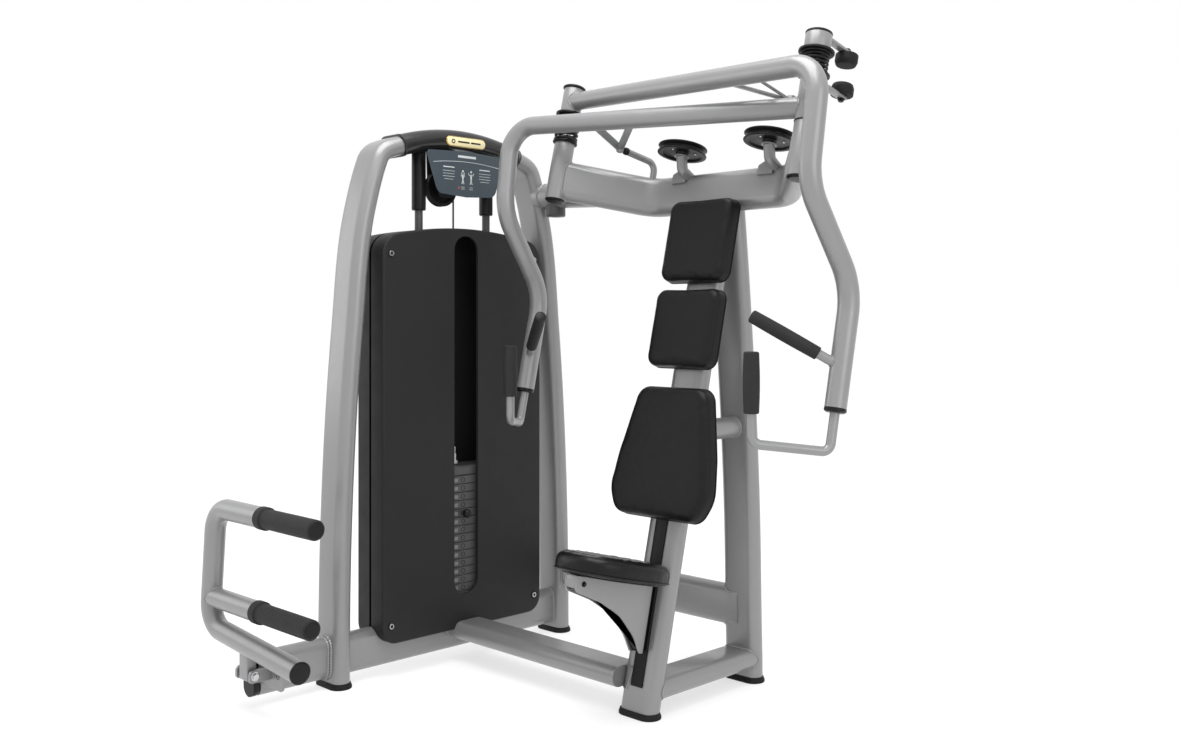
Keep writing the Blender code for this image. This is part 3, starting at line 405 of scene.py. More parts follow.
front_leg, back_leg = (0, 0.0175, 1), (0, -0.0175, 1)
arch_skin = (*oval_host((TOWER_X, 0.3265, 1.478), (0, -0.0535, 0.186))[:4], 0.043)
rear_skin = (*oval_host((0, 0.368, 1.43), (0, -0.018, 0.16))[:4], 0.043)
column_skin = oval_host(LEAN_ORIGIN, LEAN_UP)
frame_seams = [
    bead(side_oval, (TOWER_X, -0.38, BASE_Z), -Y, X, oval_host(base_front, front_leg)),
    bead(side_oval, (TOWER_X, 0.38, BASE_Z), Y, X, oval_host(base_front * (1, -1, 1), back_leg)),
    bead(side_oval, (TOWER_X, -0.50, BASE_Z), Y, X, oval_host(base_front, front_leg), 0.0055),
    bead(side_oval * 0.96, (TOWER_X, -0.51, BASE_Z), Y, X, oval_host(base_front, front_leg, X, 0.009), 0.0042),
    bead(side_oval, (-0.74, LINK_Y, LINK_Z), -X, Z, oval_host((TOWER_X, 0, BASE_Z), Y, Z)),
    bead(side_oval, (-0.12, LINK_Y, LINK_Z), X, Z, column_skin),
    bead(flat_oval, (0, 0.12, REAR_TUBE_Z), -Y, X, oval_host(LEAN_ORIGIN, LEAN_UP, X, 0.001)),
    bead(flat_oval, (0, 0.38, REAR_TUBE_Z), Y, X, oval_host((0, REAR_Y, 0.06), (0, -0.003, 0.11), X, 0.001)),
    bead(flat_oval, (-0.74, TIE_Y, TIE_Z), -X, Z, oval_host((TOWER_X, 0.4375, TIE_Z), back_leg, X, 0.0015)),
    bead(flat_oval, (-0.12, TIE_Y, TIE_Z), X, Z, oval_host((0, 0.454, TIE_Z), (0, -0.010, 0.36), X, 0.0015)),
    bead(flat_oval, lean(0, 0, 1.36), LEAN_UP, X, oval_host(lean(0, 0, BEAM_S), X, LEAN_UP, 0.0012)),
    bead(circle(TIE_RADIUS), UPPER_TIE[0] + 0.12 * tie_way, -tie_way, Z, arch_skin),
    bead(circle(TIE_RADIUS), UPPER_TIE[0] + 0.85 * tie_way, tie_way, Z, rear_skin),
    bead(circle(BRACE_RADIUS), (0, 0.24, BRACE_Z), -Y, Z, column_skin),
    bead(circle(BRACE_RADIUS), (0, 0.36, BRACE_Z), Y, Z, oval_host((0, 0.445, 0.53), (0, -0.033, 0.47))),
]
for side in (-1, 1):
    bend, tip = lean(side * BEAM_HALF, 0, BEAM_S), lean(side * PIVOT_X, PIVOT_B, BEAM_S)
    post_host = (tip, LEAN_UP, X, 0.0, POST_RADIUS)
    frame_seams.append(bead(flat_oval, bend + 0.62 * (tip - bend), tip - bend, LEAN_UP, post_host))
make("frame_weld_seams", frame_seams, silver_paint)

# ---------------------------------------------------------------- rubber feet and tube plugs
# Moulded black rubber cups on the four tube ends that stand on the floor: a flared sole and a thin
# collar round the tube. The open end of the outrigger is closed by a pressed-in plastic plug.
black_rubber = coating("black_rubber", (0.009, 0.009, 0.0095), 0.62, drift=0.25, patch=30.0, grain=1600.0,
                       relief=0.25, Specular_IOR_Level=0.20)
black_plastic = coating("black_plastic", (0.006, 0.006, 0.0065), 0.36, drift=0.2, patch=18.0, grain=1300.0,
                        relief=0.08, Specular_IOR_Level=0.22)


def shrink(outline, inset):
    """A closed outline moved inwards square to the chord between each point's neighbours."""
    along = np.roll(outline, -1, 0) - np.roll(outline, 1, 0)
    inwards = unit(np.stack([-along[:, 1], along[:, 0]], -1))
    return outline + inset * inwards


def stacked(outline, levels, origin, across, up):
    """Copies of an outline, each with its inset, height and scale, skinned from the lowest to the highest."""
    normal = np.cross(across, up)
    middle = (outline.min(0) + outline.max(0)) / 2
    rows = []
    for inset, height, *scale in levels:
        flat = middle + (shrink(outline, inset) - middle) * (scale[0] if scale else 1.0)
        rows.append(np.asarray(origin) + flat[:, :1] * across + flat[:, 1:] * up + height * normal)
    return skin(np.array(rows))


FEET = {"tower_front_foot": (TOWER_X, -TOWER_HALF), "tower_rear_foot": (TOWER_X, TOWER_HALF),
        "column_foot": (0, 0), "rear_post_foot": (0, REAR_Y)}
sole = quarter(oval(OVAL_LONG + 0.006, OVAL_SHORT + 0.006, 20))
SOLE_LEVELS = [(0.0015, 0), (0, 0.0012), (0, 0.007), (0.001, 0.0095), (0.0025, 0.0115), (0.0030, 0.015),
               (0.0045, 0.0165), (0.0065, 0.0165)]
for foot, (x, y) in FEET.items():
    make(foot + "_cup", [stacked(sole, SOLE_LEVELS, (x, y, 0), X, Y)], black_rubber, foot)
PLUG_LEVELS = [(0.004, 0), (0.001, 0.0035), (0.0004, 0.006), (0.0004, 0.02)]
plug = stacked(flat_oval, PLUG_LEVELS, (TOWER_X, OUTRIGGER_END - 0.0025, BASE_Z), X, Z)
make("outrigger_plug", [plug], black_plastic)

# ---------------------------------------------------------------- pivot posts, springs and stops
# A steel post at each end of the beam holds a spindle. The arm's sleeve turns on it between black
# washers, against a black coil spring, and two bolted rubber discs behind the left post stop it.
RIGHT_AXIS, LEFT_AXIS = lean(-PIVOT_X, PIVOT_B, 0), lean(PIVOT_X, PIVOT_B, 0)


def closed_outline(points, radii, turn=math.radians(9)):
    """A closed outline with rounded corners, from points that start and end in the middle of one side."""
    return bent_line(points, radii, turn)[:-1]


def box_outline(half_wide, half_high, corner, turn=math.radians(9)):
    """A rectangle round the origin with rounded corners, from the middle of its low side."""
    points = [(0, -half_high), (half_wide, -half_high), (half_wide, half_high), (-half_wide, half_high),
              (-half_wide, -half_high), (0, -half_high)]
    return closed_outline(points, [corner] * 4, turn)


def turned(profile, base, axis, count=48, bored=False, soft=0.0012):
    """Each (radius, height) pair of a profile, carried round the axis by cosine and sine.

    The profile runs up the outer side. A bored one is closed first, so that it makes a ring.
    """
    profile = [np.asarray(point, float) for point in profile]
    if bored:
        middle = (profile[0] + profile[1]) / 2
        profile = [middle, *profile[1:], profile[0], middle]
    profile = bent_line(profile, [soft] * (len(profile) - 2), math.radians(30))
    if bored:
        profile = profile[:-1]
    axis = unit(axis)
    side = unit(np.cross(axis, X if abs(axis[0]) < 0.9 else Y))
    angle = np.arange(count) * 2 * math.pi / count
    spokes = np.cos(angle)[:, None] * side + np.sin(angle)[:, None] * np.cross(axis, side)
    grid = np.asarray(base, float) + profile[:, None, :1] * spokes + profile[:, None, 1:] * axis
    return skin(grid, loop=bored)


def rod(base, axis, radius, low, high, count=48, soft=0.0012):
    """A plain turned rod between two heights over its base."""
    hub = radius * 0.3
    return turned([(hub, low), (radius, low), (radius, high), (hub, high)], base, axis, count, soft=soft)


def bolt(spot, axis, radius, height):
    """A hexagon head on its washer, both turned round the axis."""
    washer = rod(spot, axis, radius * 1.35, 0, height * 0.25, 28, 0.0003)
    head = [(radius, height * 0.25), (radius, height * 0.85), (radius * 0.86, height)]
    return [washer, turned(head, spot, axis, 6, soft=0)]


def socket_screw(spot, axis, radius, height):
    """A button head with a hexagon socket."""
    profile = [(1, 0), (1, 0.35), (0.62, 1), (0.36, 1), (0.32, 0.45), (0.1, 0.45)]
    return turned(np.array(profile) * (radius, height), spot, axis, 24, soft=0.0003)


def coil(base, low, high, radius, wire, turns, leg):
    """A spring with a straight leg: radius times cosine and sine, rising evenly between its flat end turns."""
    share = np.linspace(0, 1, int(turns * 26))
    angle = share * turns * 2 * math.pi
    lift = np.clip((share * turns - 0.7) / (turns - 1.4), 0, 1)
    height = low + wire + (high - low - 2 * wire) * lift + wire * 0.6 * (share - 0.5)
    ring = np.cos(angle)[:, None] * X + np.sin(angle)[:, None] * LEAN_BACK
    line = base + radius * ring + height[:, None] * LEAN_UP
    tangent = unit(line[0] - line[1])
    legs = line[0] + np.linspace(leg, 0.004, 5)[:, None] * tangent
    return tube(circle(wire, 10), np.vstack([legs, line]), LEAN_UP, edge=0.0004)


posts = {"right": (RIGHT_AXIS, 1.412, 1.590), "left": (LEFT_AXIS, 1.405, 1.548)}
for side, (axis_base, low, high) in posts.items():
    shaft = rod(axis_base, LEAN_UP, POST_RADIUS, low, high, 56)
    plug = turned([(0.004, low - 0.007), (0.024, low - 0.007), (0.0305, low - 0.003), (0.0305, low + 0.004),
                   (0.01, low + 0.004)], axis_base, LEAN_UP, 48)
    make(side + "_post_tube", [shaft], silver_paint, side + "_pivot_post")
    make(side + "_post_plug", [plug], black_plastic)

make("left_collar", [rod(LEFT_AXIS, LEAN_UP, 0.034, 1.741, 1.7845, 56)], silver_paint)
cap_profile = [(0.034, 0), (0.0348, 0.001), (0.0348, 0.0055), (0.030, 0.0085), (0.004, 0.0095)]
make("left_collar_cap", [turned(cap_profile, LEFT_AXIS + 1.784 * LEAN_UP, LEAN_UP)], black_plastic)
spindles = [turned([(0.0135, 1.58), (0.0135, 1.762), (0.004, 1.762)], RIGHT_AXIS, LEAN_UP, 32),
            turned([(0.0135, 1.54), (0.0135, 1.742), (0.004, 1.742)], LEFT_AXIS, LEAN_UP, 32)]
bright_steel = coating("bright_steel", (0.52, 0.52, 0.53), 0.24, drift=0.05, grain=700.0, relief=0.04,
                       Metallic=1.0)
make("pivot_spindles", spindles, bright_steel)


def washer(base, low, high, radius):
    """A flat black washer round the spindle."""
    walls = [(0.0138, low), (radius, low), (radius, high), (0.0138, high)]
    return turned(walls, base, LEAN_UP, 48, True, 0.0008)


frame_washers = [washer(RIGHT_AXIS, 1.5905, 1.596, 0.0375), washer(LEFT_AXIS, 1.5482, 1.5512, 0.0322),
                 washer(LEFT_AXIS, 1.7345, 1.7405, 0.0460), washer(LEFT_AXIS, 1.729, 1.7335, 0.040)]
make("post_washers", frame_washers, black_plastic)
make("right_coil", [coil(RIGHT_AXIS, 1.597, 1.678, 0.0315, 0.0050, 6.6, 0.030)], black_plastic,
     "right_spring")
make("left_coil", [coil(LEFT_AXIS, 1.6785, 1.729, 0.0315, 0.0036, 5.6, 0.034)], black_plastic, "left_spring")

SLEEVES = {"left": (RIGHT_AXIS, 1.686, 1.764), "right": (LEFT_AXIS, 1.5515, 1.672)}
for side, (axis_base, low, high) in SLEEVES.items():
    walls = [(0.0142, low), (POST_RADIUS, low), (POST_RADIUS, high), (0.0142, high)]
    barrel = turned(walls, axis_base, LEAN_UP, 56, True)
    make(side + "_sleeve_barrel", [barrel], silver_paint, side + "_arm_sleeve", body=side + "_arm")
make("left_sleeve_cap", [turned(cap_profile, RIGHT_AXIS + 1.7645 * LEAN_UP, LEAN_UP)], black_plastic,
     body="left_arm")
make("left_sleeve_washer", [washer(RIGHT_AXIS, 1.6792, 1.6855, 0.0425)], black_plastic, body="left_arm")
make("right_sleeve_washer", [washer(LEFT_AXIS, 1.6725, 1.6775, 0.0420)], black_plastic, body="right_arm")

STOP_B, STOP_RADIUS = PIVOT_B + 0.133, 0.030
stop_axis = lean(PIVOT_X, STOP_B, 0)


def rounded_bar(start, end, wide, half_wide, half_thick, edge=0.0015):
    """A flat bar with rounded edges between two points."""
    outline = box_outline(half_wide, half_thick, edge, math.radians(30))
    start, end = np.asarray(start, float), np.asarray(end, float)
    return tube(outline, [start, end], np.cross(end - start, wide), 0.0008)


STOPS = {"upper": ("frame", 1.790, 1.7855, 1.755, 1.0), "lower": ("right_arm", 1.667, 1.6715, 1.702, -1.0)}
for which, (body, lug_s, near, far, way) in STOPS.items():
    lug_start, lug_end = lean(PIVOT_X, PIVOT_B + 0.024, lug_s), lean(PIVOT_X, STOP_B + 0.012, lug_s)
    lug = rounded_bar(lug_start, lug_end, X, 0.011, 0.004)
    make(which + "_stop_lug", [lug], silver_paint, body=body)
    thick = abs(near - far)
    profile = [(0.012, 0), (STOP_RADIUS, 0), (STOP_RADIUS, 0.020), (STOP_RADIUS - 0.004, thick), (0.006, thick)]
    disc = turned(profile, stop_axis + near * LEAN_UP, -way * LEAN_UP, 48, soft=0.003)
    make(which + "_stop_disc", [disc], black_rubber, which + "_stop", body=body)
    bolt_spot = stop_axis + (lug_s + way * 0.004) * LEAN_UP
    make(which + "_stop_bolt", bolt(bolt_spot, way * LEAN_UP, 0.0075, 0.008), black_plastic, body=body)

# ---------------------------------------------------------------- press arms
# Each arm is one bent round tube. It leaves the sleeve on the far side's post, crosses over the
# user's head and comes down outside the shoulder; a black plug closes its lower end.
ARM_ENDS = np.array([[0.561, 0.154, 1.145], [0.559, 0.087, 0.851]])
ROOTS = {
    "left": (1, lean(-PIVOT_X, PIVOT_B, 1.725), 1.678),
    "right": (-1, lean(PIVOT_X, PIVOT_B, 1.590), 1.651),
}
PEG = np.array([(0.556, 0.100, 0.957), (0.390, -0.006, 1.070)])
HANDLE_RADIUS = 0.012
FORKS = {
    "left": ((0.19, 0.32), lean(0.350, -0.185, 1.638)),
    "right": ((-0.10, -0.25), lean(-0.262, -0.172, 1.577)),
}
arm_ahead = unit(ARM_ENDS[1] - ARM_ENDS[0])
for side, (sign, root, corner_z) in ROOTS.items():
    flip = np.array([sign, 1, 1])
    corner = np.array([0.556, 0.027, corner_z]) * flip
    knee = np.array([0.547, -0.010, 1.390]) * flip
    line = bent_line([root, corner, knee, *(ARM_ENDS * flip)], [0.085, 0.16, 0.16], math.radians(4))
    body = side + "_arm"
    surfaces = [tube(circle(ARM_RADIUS, 44), line, Y), tube(circle(HANDLE_RADIUS, 28), PEG * flip, Z)]
    ahead = root - corner
    sleeve = (root, LEAN_UP, X, 0.0, POST_RADIUS)
    surfaces.append(bead(circle(ARM_RADIUS), root - 0.25 * ahead, ahead, Y, sleeve, 0.003))
    straight_end = (ARM_ENDS[1] * flip, arm_ahead * flip, X, 0.0, ARM_RADIUS + 0.0005)
    peg_in = (PEG[0] - PEG[1]) * flip
    surfaces.append(bead(circle(HANDLE_RADIUS), PEG[1] * flip, peg_in, Z, straight_end, 0.0022, 60))
    make(side + "_arm_bend", surfaces, silver_paint, side + "_arm_tube", body=body)
    plug = turned([(0.01, -0.002), (ARM_RADIUS + 0.0004, -0.002), (ARM_RADIUS + 0.0004, 0.006),
                   (0.022, 0.0095), (0.004, 0.0095)], ARM_ENDS[1] * flip, arm_ahead * flip, 44)
    make(side + "_arm_plug", [plug], black_plastic, body=body)

    # Two flat bars under the arm meet in a lug with a steel button, which the rest hook stops.
    feet, apex = FORKS[side]
    bars = []
    for x in feet:
        spot = root + (corner - root) * (x - root[0]) / (corner[0] - root[0])
        bars.append(rounded_bar(spot, apex + (spot - apex) * 0.04, LEAN_BACK, 0.0105, 0.0040))
    button = [(0.004, -0.012), (0.011, -0.012), (0.011, 0.009), (0.008, 0.012), (0.002, 0.012)]
    bars.append(turned(button, apex, -LEAN_UP, 28))
    make(side + "_fork", bars, silver_paint, body=body)

# ---------------------------------------------------------------- rest hooks on the beam
# A bent round rod stands on the beam beside each fork. The fork's button lies against the hook's
# rubber tip when the arm is at rest.
HOOKS = {"right": (-0.250, -0.026), "left": (0.310, -0.085)}
for side, (foot_x, foot_b) in HOOKS.items():
    apex = FORKS[side][1]
    apex_b, apex_s = (apex - LEAN_ORIGIN) @ LEAN_BACK, (apex - LEAN_ORIGIN) @ LEAN_UP
    tip = lean(apex[0], apex_b + 0.0215, apex_s)
    foot, top = lean(foot_x, foot_b, BEAM_S + 0.04), lean(foot_x, foot_b, apex_s)
    line = bent_line([foot, top, tip], [0.028], math.radians(8))
    make(side + "_rest_hook", [tube(circle(0.010, 28), line, X)], silver_paint)
    way = unit(line[-1] - line[-2])
    pad = [(0.004, 0), (0.0112, 0), (0.0112, 0.010), (0.008, 0.0125), (0.003, 0.0125)]
    make(side + "_hook_tip", [turned(pad, tip - 0.010 * way, way, 28)], black_rubber)

# ---------------------------------------------------------------- cable pulleys over the beam
# Glass-filled black nylon wheels with a deep groove between two flanges, three small screws on each
# face and a bolted hub. Each turns on a silver neck that is welded to the beam.
PULLEY_RADIUS, PULLEY_HALF = 0.073, 0.012
BEAM_PULLEYS = {"right": (-0.110, -0.066, 1.589), "left": (0.205, -0.066, 1.592)}


def wheel(centre, axis, radius, half, groove, hub):
    """A grooved wheel, from one face's profile and its mirror: raised hub, dished web, flange and groove."""
    face = [(hub * 0.45, -half), (hub, -half), (hub * 1.1, -half * 0.55), (radius - 0.016, -half * 0.55),
            (radius - 0.012, -half * 0.95), (radius - 0.001, -half), (radius, -half * 0.72),
            (radius - groove, -half * 0.22)]
    profile = face + [(r, -h) for r, h in reversed(face)]
    return turned(profile, centre, axis, 72, soft=0.0015)


def plate(outline, thickness, origin, across, up, chamfer=0.0008):
    """A flat plate, its edges taken off all round both faces."""
    levels = [(chamfer, 0), (0, chamfer), (0, thickness - chamfer), (chamfer, thickness)]
    return stacked(outline, levels, origin, across, up)


for side, spot in BEAM_PULLEYS.items():
    centre = lean(*spot)
    body = side + "_cable_pulley"
    make(side + "_pulley_wheel", [wheel(centre, LEAN_UP, PULLEY_RADIUS, PULLEY_HALF, 0.011, 0.018)],
         black_plastic, side + "_beam_pulley", body=body)
    screws = []
    for k in range(3):
        turn = k * 2 * math.pi / 3 + 0.5
        spoke = math.cos(turn) * X + math.sin(turn) * LEAN_BACK
        for way in (-1, 1):
            spot_on_web = centre + 0.040 * spoke + way * 0.0064 * LEAN_UP
            screws.append(socket_screw(spot_on_web, way * LEAN_UP, 0.0042, 0.003))
    make(side + "_pulley_screws", screws, bright_steel, body=body)
    foot = lean(spot[0], -0.004, BEAM_S + 0.045)
    neck_top = centre - (PULLEY_HALF + 0.0025) * LEAN_UP
    neck_bend = lean(spot[0], spot[1] * 0.8, spot[2] - 0.055)
    neck = tube(circle(0.016, 32), bent_line([foot, neck_bend, neck_top], [0.02]), X)
    flange = rod(neck_top, LEAN_UP, 0.022, -0.004, 0, 32)
    gusset_corners = [(0.0, 1.503), (0.0, 1.556), (-0.050, 1.531), (-0.054, 1.503), (0.0, 1.503)]
    gusset = closed_outline(gusset_corners, [0.002, 0.004, 0.002])
    web = plate(gusset, 0.005, lean(spot[0], -0.031, 0), X, LEAN_UP)
    make(side + "_pulley_neck", [neck, flange, web], silver_paint)
    make(side + "_pulley_bolt", bolt(centre + PULLEY_HALF * LEAN_UP, LEAN_UP, 0.0085, 0.0065), bright_steel)

# ---------------------------------------------------------------- handles and grips
# The lower handle is a thin bent tube from the arm's plug to an upright rubber grip, and a peg
# carries the angled one. The grips are dark moulded rubber, pushed on from their closed tips.
grip_rubber = coating("grip_rubber", (0.020, 0.020, 0.0205), 0.68, slot="black_rubber", drift=0.18,
                      patch=40.0, grain=1500.0, relief=0.35, Specular_IOR_Level=0.22)


def grip(start, end, radius, belly, collar=0.0):
    """A grip: fullest in the middle by a sine, with its lip and its tip rounded by quarter circles."""
    start, end = np.asarray(start, float), np.asarray(end, float)
    length = np.linalg.norm(end - start)
    share = np.linspace(0, 1, 90)
    outer = radius + (belly - radius) * np.sin(math.pi * share)
    if collar:
        outer = np.where(share * length < 0.028, radius + collar, outer)
    tip = 0.004
    shift = np.clip((1 - share) * length, 0, tip)
    outer = outer - tip + np.sqrt(tip ** 2 - (tip - shift) ** 2)
    lip = np.clip(share * length, 0, 0.002)
    outer = outer - 0.002 + np.sqrt(0.002 ** 2 - (0.002 - lip) ** 2)
    return turned(list(zip(outer, share * length)), start, end - start, 40, soft=0)


GRIP_X, GRIP_Y = 0.4355, -0.082
for side, sign in (("left", 1), ("right", -1)):
    flip = np.array([sign, 1, 1])
    body = side + "_arm"
    top = ARM_ENDS[1]
    u_corners = [top, top + arm_ahead * 0.105, (GRIP_X, GRIP_Y, 0.770), (GRIP_X, GRIP_Y, 0.978)]
    u_line = bent_line(u_corners, [0.022, 0.026], math.radians(8)) * flip
    make(side + "_handle_bend", [tube(circle(HANDLE_RADIUS, 28), u_line, unit((-sign, 3.0, 0.4)))],
         silver_paint, side + "_u_handle", body=body)
    upright = grip((GRIP_X, GRIP_Y, 0.842) * flip, (GRIP_X, GRIP_Y, 0.990) * flip, 0.0185, 0.0205)
    make(side + "_upright_rubber", [upright], grip_rubber, side + "_upright_grip", body=body)
    way = unit(PEG[1] - PEG[0])
    angled = grip((PEG[0] + way * 0.052) * flip, (PEG[1] + way * 0.012) * flip, 0.0165, 0.0175)
    make(side + "_angled_rubber", [angled], grip_rubber, side + "_angled_grip", body=body)
    disc_profile = [(0.003, 0), (0.0125, 0), (0.0125, 0.0012), (0.003, 0.0016)]
    disc = turned(disc_profile, (PEG[1] + way * 0.0115) * flip, way * flip, 32, soft=0.0004)
    make(side + "_grip_disc", [disc], black_plastic, body=body)

# ---------------------------------------------------------------- back pads
# Three firm foam pads in black grained vinyl, each on a thin plywood board screwed to the column.
# The cover is blown up a little by cloth simulation, and a welt runs round its back edge.
black_vinyl = coating("black_vinyl", (0.0035, 0.0035, 0.0037), 0.42, drift=0.12, patch=12.0, grain=1100.0,
                      relief=0.22, cells=True, Specular_IOR_Level=0.22)
VOXEL, SIMULATED_FRAMES = 0.005, 20


def fresh_mesh(piece, name):
    """The piece's mesh with its modifiers in it."""
    graph = bpy.context.evaluated_depsgraph_get()
    mesh = bpy.data.meshes.new_from_object(piece.evaluated_get(graph))
    mesh.name = name
    return mesh


def spots_of(mesh):
    """All points of a mesh as rows."""
    spots = np.empty(len(mesh.vertices) * 3, np.float32)
    mesh.vertices.foreach_get("co", spots)
    return spots.reshape(-1, 3).astype(float)


def cushion(name, surface, body, back, outwards, swell, node):
    """A stuffed piece: remeshed, blown up as cloth, held flat at its back plane, moved by swell at most."""
    piece = make(name, [surface], black_vinyl, node, body=body)
    mesh = piece.data
    remesh = piece.modifiers.new("even_faces", "REMESH")
    remesh.mode, remesh.voxel_size = "VOXEL", VOXEL
    even = fresh_mesh(piece, name + "_even")
    piece.modifiers.clear()
    piece.data = even
    bpy.data.meshes.remove(mesh)
    start = spots_of(even)
    cloth = piece.modifiers.new("cloth", "CLOTH")
    cloth.settings.use_pressure = True
    cloth.settings.uniform_pressure_force = 4.0
    cloth.settings.effector_weights.gravity = 0.0
    cloth.settings.quality = 5
    cloth.point_cache.frame_start, cloth.point_cache.frame_end = 1, SIMULATED_FRAMES
    for step in range(1, SIMULATED_FRAMES + 1):
        scene.frame_set(step)
    blown = fresh_mesh(piece, name + "_blown")
    moved = spots_of(blown) - start
    piece.modifiers.clear()
    bpy.data.meshes.remove(blown)
    scene.frame_set(1)
    far = np.linalg.norm(moved, axis=1, keepdims=True)
    moved *= np.minimum(1.0, swell / np.maximum(far, 1e-9))
    free = np.clip(((start - back) @ outwards - 0.002) / 0.012, 0, 1)[:, None]
    even.vertices.foreach_set("co", (start + moved * free).astype(np.float32).ravel())
    even.materials.clear()
    even.materials.append(black_vinyl)
    even.shade_smooth()
    fine = piece.modifiers.new("fine", "SUBSURF")
    fine.levels = fine.render_levels = 1
    return piece


def welt(plan, inset, height, radius, base, across, up):
    """A cord sewn round an outline, moved inwards by its inset and raised square to its plane."""
    outwards = np.cross(across, up)
    rim = shrink(plan, inset)
    line = base + height * outwards + rim[:, :1] * across + rim[:, 1:] * up
    return skin(carry(circle(radius, 8), even_loop(line, 260), outwards, loop=True), loop=True)


PAD_BACK, PAD_FRONT, BOARD = -0.033, -0.080, 0.006
SQUARE_HALF, SQUARE_CORNER = 0.122, 0.036


def square_pad(low, high):
    """The rounded square of the two upper pads, in x and the lean."""
    return box_outline(SQUARE_HALF, (high - low) / 2, SQUARE_CORNER) + (0, (low + high) / 2)


shield = [(0.150, 0.520), (0.186, 0.590), (0.172, 0.700), (0.128, 0.894)]
shield = [(0, 0.520), *shield, *[(-x, s) for x, s in reversed(shield)], (0, 0.520)]
PADS = {
    "head_pad": square_pad(1.188, 1.438),
    "upper_back_pad": square_pad(0.940, 1.174),
    "lumbar_pad": closed_outline(shield, [0.05, 0.10, 0.25, 0.05, 0.05, 0.25, 0.10, 0.05]),
}
thickness = PAD_BACK - BOARD - PAD_FRONT
roll = 0.016
arc = np.linspace(0, math.pi / 2, 7)
edge_levels = [(0.004 + roll * (1 - math.cos(a)), thickness - 0.003 - roll * (1 - math.sin(a))) for a in arc]
PAD_LEVELS = [(0.008, 0), (0.0045, 0.002), (0.004, 0.005), (0.003, 0.012), *edge_levels,
              (0.004 + roll, thickness - 0.0024, 0.90), (0.004 + roll, thickness - 0.0018, 0.72),
              (0.004 + roll, thickness - 0.0014, 0.45), (0.004 + roll, thickness - 0.0012, 0.15)]
board_levels = [(0.0105, 0), (0.009, 0.001), (0.009, BOARD - 0.001), (0.010, BOARD)]
column_front = -OVAL_SHORT - 0.0003
board_back = LEAN_ORIGIN + PAD_BACK * LEAN_BACK
cushion_back = board_back - BOARD * LEAN_BACK
for node, outline in PADS.items():
    surface = stacked(outline, PAD_LEVELS, cushion_back, X, LEAN_UP)
    cushion(node + "_cover", surface, "frame", cushion_back, -LEAN_BACK, swell=0.0030, node=node)
    middle_s = (outline[:, 1].min() + outline[:, 1].max()) / 2
    spacer = stacked(quarter(oval(0.040, 0.03)) + (0, middle_s), [(0.001, 0), (0, 0.001), (0, 0.006)],
                     LEAN_ORIGIN + column_front * LEAN_BACK, X, LEAN_UP)
    board = stacked(outline, board_levels, board_back, X, LEAN_UP)
    make(node + "_board", [board, spacer], black_plastic)
    edge_cord = welt(outline, 0.0052, 0.0012, 0.0019, cushion_back, X, LEAN_UP)
    make(node + "_welt", [edge_cord], black_vinyl)

# ---------------------------------------------------------------- seat
# A saddle of foam under glossy black vinyl, dished in the middle with a thick rolled rim, on a
# channel bracket of two side plates. A plastic carriage slides in the track on the column's front.
seat_vinyl = coating("seat_vinyl", (0.0035, 0.0035, 0.0037), 0.32, slot="black_vinyl", drift=0.12, patch=12.0,
                     grain=1100.0, relief=0.025, Specular_IOR_Level=0.24)
SEAT_B, SEAT_HALF_X, SEAT_HALF_Y, SEAT_LOW, SEAT_HIGH = -0.200, 0.128, 0.162, 0.352, 0.408
angle = np.arange(96) * 2 * math.pi / 96
wide = np.sign(np.cos(angle)) * np.abs(np.cos(angle)) ** (2 / 2.6)
deep = np.sign(np.sin(angle)) * np.abs(np.sin(angle)) ** (2 / 2.6)
seat_plan = np.stack([wide * SEAT_HALF_X * (1 + 0.06 * deep), SEAT_B + deep * SEAT_HALF_Y], -1)
rim_high = SEAT_HIGH - SEAT_LOW - 0.003
rim_roll = 0.021
rim_levels = [(0.003 + rim_roll * (1 - math.cos(a)), rim_high - rim_roll * (1 - math.sin(a))) for a in arc]
SEAT_LEVELS = [(0.034, 0), (0.012, 0.001), (0.006, 0.006), (0.003, 0.014), *rim_levels,
               (0.024, rim_high - 0.003, 0.90), (0.024, rim_high - 0.008, 0.74),
               (0.024, rim_high - 0.011, 0.52), (0.024, rim_high - 0.012, 0.25)]
seat_base = LEAN_ORIGIN + SEAT_LOW * LEAN_UP
seat_surface = stacked(seat_plan, SEAT_LEVELS, seat_base, X, LEAN_BACK)
seat = cushion("seat_pad_cover", seat_surface, "seat", seat_base, LEAN_UP, swell=0.0035, node="seat_pad")
seat.data.materials[0] = seat_vinyl
seat_cord = welt(seat_plan, 0.0045, 0.007, 0.0020, seat_base, X, LEAN_BACK)
make("seat_welt", [seat_cord], seat_vinyl, body="seat")
seat_board_levels = [(0.030, -0.004), (0.028, -0.003), (0.028, 0.003)]
make("seat_board", [stacked(seat_plan, seat_board_levels, seat_base, X, LEAN_BACK)], black_plastic,
     body="seat")

BRACKET_BACK = -0.0490
bracket_side = closed_outline(
    [(-0.200, 0.3475), (-0.346, 0.3475), (-0.346, 0.308), (-0.245, 0.288), (-0.162, 0.258), (-0.096, 0.208),
     (-0.062, 0.165), (BRACKET_BACK, 0.165), (BRACKET_BACK, 0.3475), (-0.200, 0.3475)],
    [0.003, 0.024, 0.12, 0.12, 0.12, 0.004, 0.003, 0.003])
bracket_plates = [plate(bracket_side, 0.005, lean(x, 0, 0), LEAN_BACK, LEAN_UP) for x in (-0.020, 0.015)]
front_web = rounded_bar(lean(0, -0.3435, 0.3455), lean(0, -0.3435, 0.316), X, 0.0155, 0.0022)
top_web = rounded_bar(lean(0, -0.343, 0.3455), lean(0, BRACKET_BACK, 0.3455), X, 0.0155, 0.0022)
make("seat_bracket_plates", [*bracket_plates, front_web, top_web], silver_paint, "seat_bracket", body="seat")
